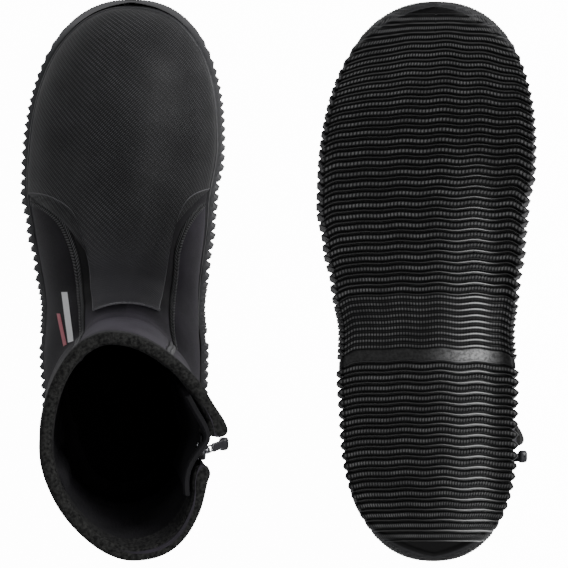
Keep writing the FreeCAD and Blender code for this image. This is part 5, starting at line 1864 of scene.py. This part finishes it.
def rubber(name, base, roughness, grain, coat=0.0):
    """Moulded rubber or plastic, with soft patches and a fine grain."""
    paint = Paint(name)
    patches = paint.noise(38.0, 4.0)
    fine = paint.noise(grain, 3.0)
    paint.set(Base_Color=paint.mix(paint.ramp(patches, 0.35, 0.7), base, shaded(base, 1.35)))
    paint.set(Roughness=paint.ramp(patches, 0.3, 0.7, roughness - 0.05, roughness + 0.07))
    paint.set(Coat_Weight=coat, Coat_Roughness=0.22, Specular_IOR_Level=0.4)
    paint.bump(fine, 0.00006, 0.4)
    return paint


TWILL = 1.15      # millimetres from one ridge of the guard's twill to the next


def guard_paint():
    """Moulded rubber with a fine broken twill that follows the boot, a painted highlight on the twill's
    ridges, and a painted highlight along the rim.
    """
    paint = rubber("guard_moulding", gray(0.01, 0.01, 0.0115), 0.5, 2400.0)
    along, around = paint.layer("along"), paint.layer("around")
    turns = math.pi / (math.sqrt(2.0) * TWILL)
    slant = paint.times(paint.math("SUBTRACT", along, around), 2.0 * turns)
    cross = paint.times(paint.math("ADD", along, around), turns)
    ridge = paint.ramp(paint.math("SINE", slant), -0.6, 0.8)
    broken = paint.ramp(paint.math("SINE", cross), -0.7, 0.4, 0.25, 1.0)
    height = paint.times(ridge, broken)
    # painted highlight on the twill's ridges, patchy at random
    wear_and_highlight = paint.ramp(paint.noise(60.0), 0.3, 0.7, 0.55, 1.0)
    # towards the rear the twill's painted highlight is weaker and the ground colour paler
    faded = paint.ramp(paint.layer("rear"), 0.0, 1.0, 1.0, 0.3)
    ground = paint.mix(paint.layer("rear"), gray(0.0042, 0.0042, 0.0046), gray(0.046, 0.044, 0.0505))
    shown = paint.times(paint.times(height, wear_and_highlight), faded)
    plain = paint.mix(shown, ground, gray(0.088, 0.088, 0.095))
    # painted highlight along the rim
    rim = paint.times(paint.layer("rim"), 0.9)
    paint.set(Base_Color=paint.mix(rim, plain, gray(0.5, 0.49, 0.52)))
    paint.bump(height, 0.00035, 0.8)
    return paint


def sole_paint():
    """Moulded sole rubber: painted highlights as pale ticks along the ribs' beads, as pale lines in the gaps
    and over the band, and along the wall's top lip; the wall itself is paler.
    """
    paint = rubber("sole_rubber", gray(0.004, 0.004, 0.0045), 0.36, 1500.0)
    beads = paint.math("COSINE", paint.times(paint.layer("bead"), math.pi))
    tick = paint.ramp(paint.math("ABSOLUTE", beads), 0.35, 0.95)
    crest, line, painted_highlight, wall = (paint.layer(name) for name in ("crest", "line", "painted_highlight", "wall"))
    dark = paint.mix(paint.ramp(paint.noise(38.0, 4.0), 0.35, 0.7), gray(0.0018), gray(0.0035))
    # the wall is paler than the tread
    walled = paint.mix(paint.ramp(wall, 0.0, 0.25), dark, gray(0.06, 0.06, 0.064))
    # painted highlight along the wall's top lip
    walled = paint.mix(paint.ramp(wall, 0.9, 1.0), walled, gray(0.17, 0.17, 0.175))
    ribbed = paint.mix(crest, walled, gray(0.0095, 0.0095, 0.01))
    # painted highlight: pale ticks on the ribs' beads, varied at random
    dots = paint.times(paint.math("POWER", crest, 2.0), tick)
    dot_variation = paint.ramp(paint.noise(90.0, 3.0), 0.35, 0.65, 0.35, 0.8)
    ticked = paint.mix(paint.times(dots, dot_variation), ribbed, gray(0.16))
    # painted highlight along the fine lines in the gaps, strongest along the inner side
    lined = paint.mix(paint.times(line, paint.ramp(painted_highlight, 0.0, 1.0, 0.07, 1.0)), ticked, gray(1.0))
    # painted highlight over the band, speckled at random
    speckle = paint.ramp(paint.noise(700.0, 3.0), 0.35, 0.65, 0.35, 1.0)
    band_highlight = paint.times(paint.ramp(painted_highlight, 0.0, 1.0, 0.03, 0.75), speckle)
    banded = paint.mix(paint.times(paint.layer("band"), band_highlight), lined, gray(0.7))
    paint.set(Base_Color=banded, Roughness=paint.ramp(painted_highlight, 0.0, 1.0, 0.45, 0.24))
    paint.set(Specular_IOR_Level=paint.ramp(painted_highlight, 0.0, 1.0, 0.2, 0.55))
    return paint


def neoprene_paint():
    """Knit-faced neoprene, with less sheen and a painted shade where the piece says so."""
    paint = jersey("neoprene_jersey", gray(0.028, 0.025, 0.0315), gray(0.056, 0.0485, 0.063), 0.09, 0.0006)
    tone = paint.shader.inputs["Base Color"].links[0].from_socket
    # painted shade: the colour is darkened towards near black where the piece's layer says so
    paint.set(Base_Color=paint.mix(paint.layer("dull_and_shade"), tone, gray(0.003, 0.0028, 0.0034)))
    paint.set(Sheen_Weight=paint.ramp(paint.layer("dull_and_shade"), 0.0, 1.0, 0.09, 0.02))
    return paint


def binding_paint():
    """The cuff's bound edge: a mottled black knit."""
    paint = jersey("binding_tape", gray(0.013, 0.013, 0.0125), gray(0.026, 0.026, 0.025), 0.05, 0.0008, 0.8)
    mottle = paint.ramp(paint.noise(620.0, 4.0), 0.36, 0.64)
    paint.set(Base_Color=paint.mix(mottle, gray(0.006), gray(0.042, 0.042, 0.04)))
    return paint


def thread_paint():
    """Black seam cord, with a painted highlight where its turns stand up."""
    paint = jersey("seam_thread", gray(0.003, 0.003, 0.0033), gray(0.006, 0.0058, 0.0065), 0.03, 0.0003, 0.4)
    # painted highlight on the raised turns
    lit = paint.ramp(paint.layer("wear_and_highlight"), 0.5, 0.95)
    paint.set(Base_Color=paint.mix(lit, gray(0.0012), gray(0.15, 0.15, 0.155)), Specular_IOR_Level=0.3)
    return paint


def metal_paint(name, base, roughness):
    """Brushed metal with fine scratches."""
    paint = rubber(name, base, roughness, 3000.0)
    paint.set(Metallic=1.0)
    paint.bump(paint.noise(900.0, 2.0, 0.6, (1.0, 8.0, 1.0)), 0.00002, 0.3)
    return paint


# name, dark and light tones, sheen, weave pitch in metres, roughness
KNITS = (
    ("lining_knit", gray(0.012, 0.012, 0.013), gray(0.026, 0.025, 0.028), 0.03, 0.0009, 0.85),
    ("zip_tape", gray(0.006, 0.006, 0.0065), gray(0.012, 0.012, 0.013), 0.06, 0.0005, 0.7),
    ("insole_foam", gray(0.003, 0.003, 0.0033), gray(0.006, 0.006, 0.0065), 0.05, 0.0011, 0.85),
)
# name, colour, roughness, grain, coat
MOULDINGS = (
    ("rand_rubber", gray(0.045, 0.045, 0.0485), 0.42, 1200.0, 0.05),
    ("zip_plastic", gray(0.012, 0.012, 0.013), 0.32, 2600.0, 0.1),
    ("pull_rubber", gray(0.05, 0.05, 0.056), 0.38, 1800.0, 0.1),
)


def make_materials():
    """The materials by slot, and the two inks by name."""
    made = {
        "neoprene": neoprene_paint(),
        "guard_mesh": guard_paint(),
        "sole_rubber": sole_paint(),
        "binding_tape": binding_paint(),
        "seam_thread": thread_paint(),
        "stripe_white": print_paint("stripe_white", gray(0.97, 0.97, 0.98)),
        "stripe_red": print_paint("stripe_red", gray(0.6, 0.15, 0.19)),
        "slider_metal": metal_paint("slider_metal", gray(0.33, 0.33, 0.35), 0.26),
        "link_steel": metal_paint("link_steel", gray(0.42, 0.42, 0.44), 0.22),
        "board": rubber("fibre_board", gray(0.12, 0.10, 0.08), 0.8, 900.0),
    }
    made.update({knit[0]: jersey(*knit) for knit in KNITS})
    made.update({moulding[0]: rubber(*moulding) for moulding in MOULDINGS})
    return {slot: paint.material for slot, paint in made.items()}


def print_paint(name, colour):
    """Ink printed on the knit, thin enough that the cloth's grain shows."""
    paint = Paint(name)
    fine = paint.noise(1500.0, 2.0)
    wear_and_highlight = paint.noise(140.0, 4.0)
    faded = paint.ramp(wear_and_highlight, 0.45, 0.8, 0.0, 0.35)
    paint.set(Base_Color=paint.mix(faded, colour, shaded(colour, 0.7)))
    paint.set(Roughness=paint.ramp(fine, 0.3, 0.7, 0.4, 0.6))
    paint.bump(weave(paint, 0.0006), 0.0001, 0.5)
    return paint


# ---------------------------------------------------------------- the scene

FLOOR_REACH, FLOOR_GAP = 3.0, 0.0006    # in metres; the gap keeps the soles' teeth out of the floor
FLOOR_GLOW, FLOOR_SEEN = 0.15, 14.0     # how bright the floor is to the boots, and to the eye
WORLD_GLOW = 0.13
# name, place, width, power, height
LIGHTS = (
    ("upper_right", (1.5, 1.0, 1.6), 0.9, 33.0, 0.9),
    ("upper_left", (-1.5, 0.9, 1.3), 0.7, 3.4, 0.7),
    ("overhead", (0.62, 0.1, 2.5), 0.26, 6.5, 1.6),
    ("front", (0.0, -1.7, 0.8), 1.2, 4.5, 1.2),
)
LIT_POINT = (0.0, 0.0, 0.1)
CAMERA_PLACE = (0.0056, -0.0009, 2.857)      # straight above the boots, looking down
CAMERA_LENS = 316.1


def paint_boards():
    """The insole boards are shown with the CAD's own shape, in their own material."""
    for side in SIDES:
        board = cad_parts[side + "_insole_board"]
        board.data.materials.clear()
        board.data.materials.append(MATERIALS["board"])


def make_floor():
    """A pale floor that is bright to the eye but lights the boots only softly."""
    mesh = bpy.data.meshes.new("floor")
    corners = [(x * FLOOR_REACH, y * FLOOR_REACH, 0) for x, y in ((-1, -1), (1, -1), (1, 1), (-1, 1))]
    mesh.from_pydata(corners, [], [(0, 1, 2, 3)])
    floor = bpy.data.objects.new("floor", mesh)
    floor.location.z = -FLOOR_GAP
    bpy.context.scene.collection.objects.link(floor)
    paint = Paint("floor")
    pale = paint.mix(paint.noise(3.0), gray(0.88), gray(0.92))
    paint.set(Base_Color=pale, Roughness=0.9, Specular_IOR_Level=0.1)
    seen = paint.node("ShaderNodeLightPath").outputs["Is Camera Ray"]
    glow = paint.ramp(seen, 0.0, 1.0, FLOOR_GLOW, FLOOR_SEEN)
    paint.set(Emission_Color=gray(1.0), Emission_Strength=glow)
    mesh.materials.append(paint.material)


def add_light(name, place, width, power, height):
    """A rectangular lamp that faces the boots."""
    data = bpy.data.lights.new(name, "AREA")
    data.shape = "RECTANGLE"
    data.size, data.size_y = width, height
    data.energy = power
    lamp = bpy.data.objects.new(name, data)
    lamp.location = place
    lamp.rotation_euler = (Vector(LIT_POINT) - Vector(place)).to_track_quat("-Z", "Y").to_euler()
    bpy.context.scene.collection.objects.link(lamp)


def make_lights():
    """A pale studio and its lamps."""
    world = bpy.data.worlds.new("studio")
    bpy.context.scene.world = world
    world.use_nodes = True
    background = world.node_tree.nodes["Background"]
    background.inputs["Color"].default_value = (0.93, 0.95, 1.0, 1.0)
    background.inputs["Strength"].default_value = WORLD_GLOW
    for light in LIGHTS:
        add_light(*light)


def make_camera():
    """The camera, straight above."""
    data = bpy.data.cameras.new("camera")
    data.lens = CAMERA_LENS
    data.sensor_width = 36.0
    data.clip_end = 20.0
    camera = bpy.data.objects.new("camera", data)
    camera.location = CAMERA_PLACE
    bpy.context.scene.collection.objects.link(camera)
    bpy.context.scene.camera = camera


MATERIALS = make_materials()
paint_boards()
make_panels()
make_seams()
make_instep_guard()
make_heel_guard()
make_stripes()
make_rand()
make_binding()
make_lining()
make_insole()
make_gusset()
make_outsole()
make_zip()
make_floor()
make_lights()
make_camera()
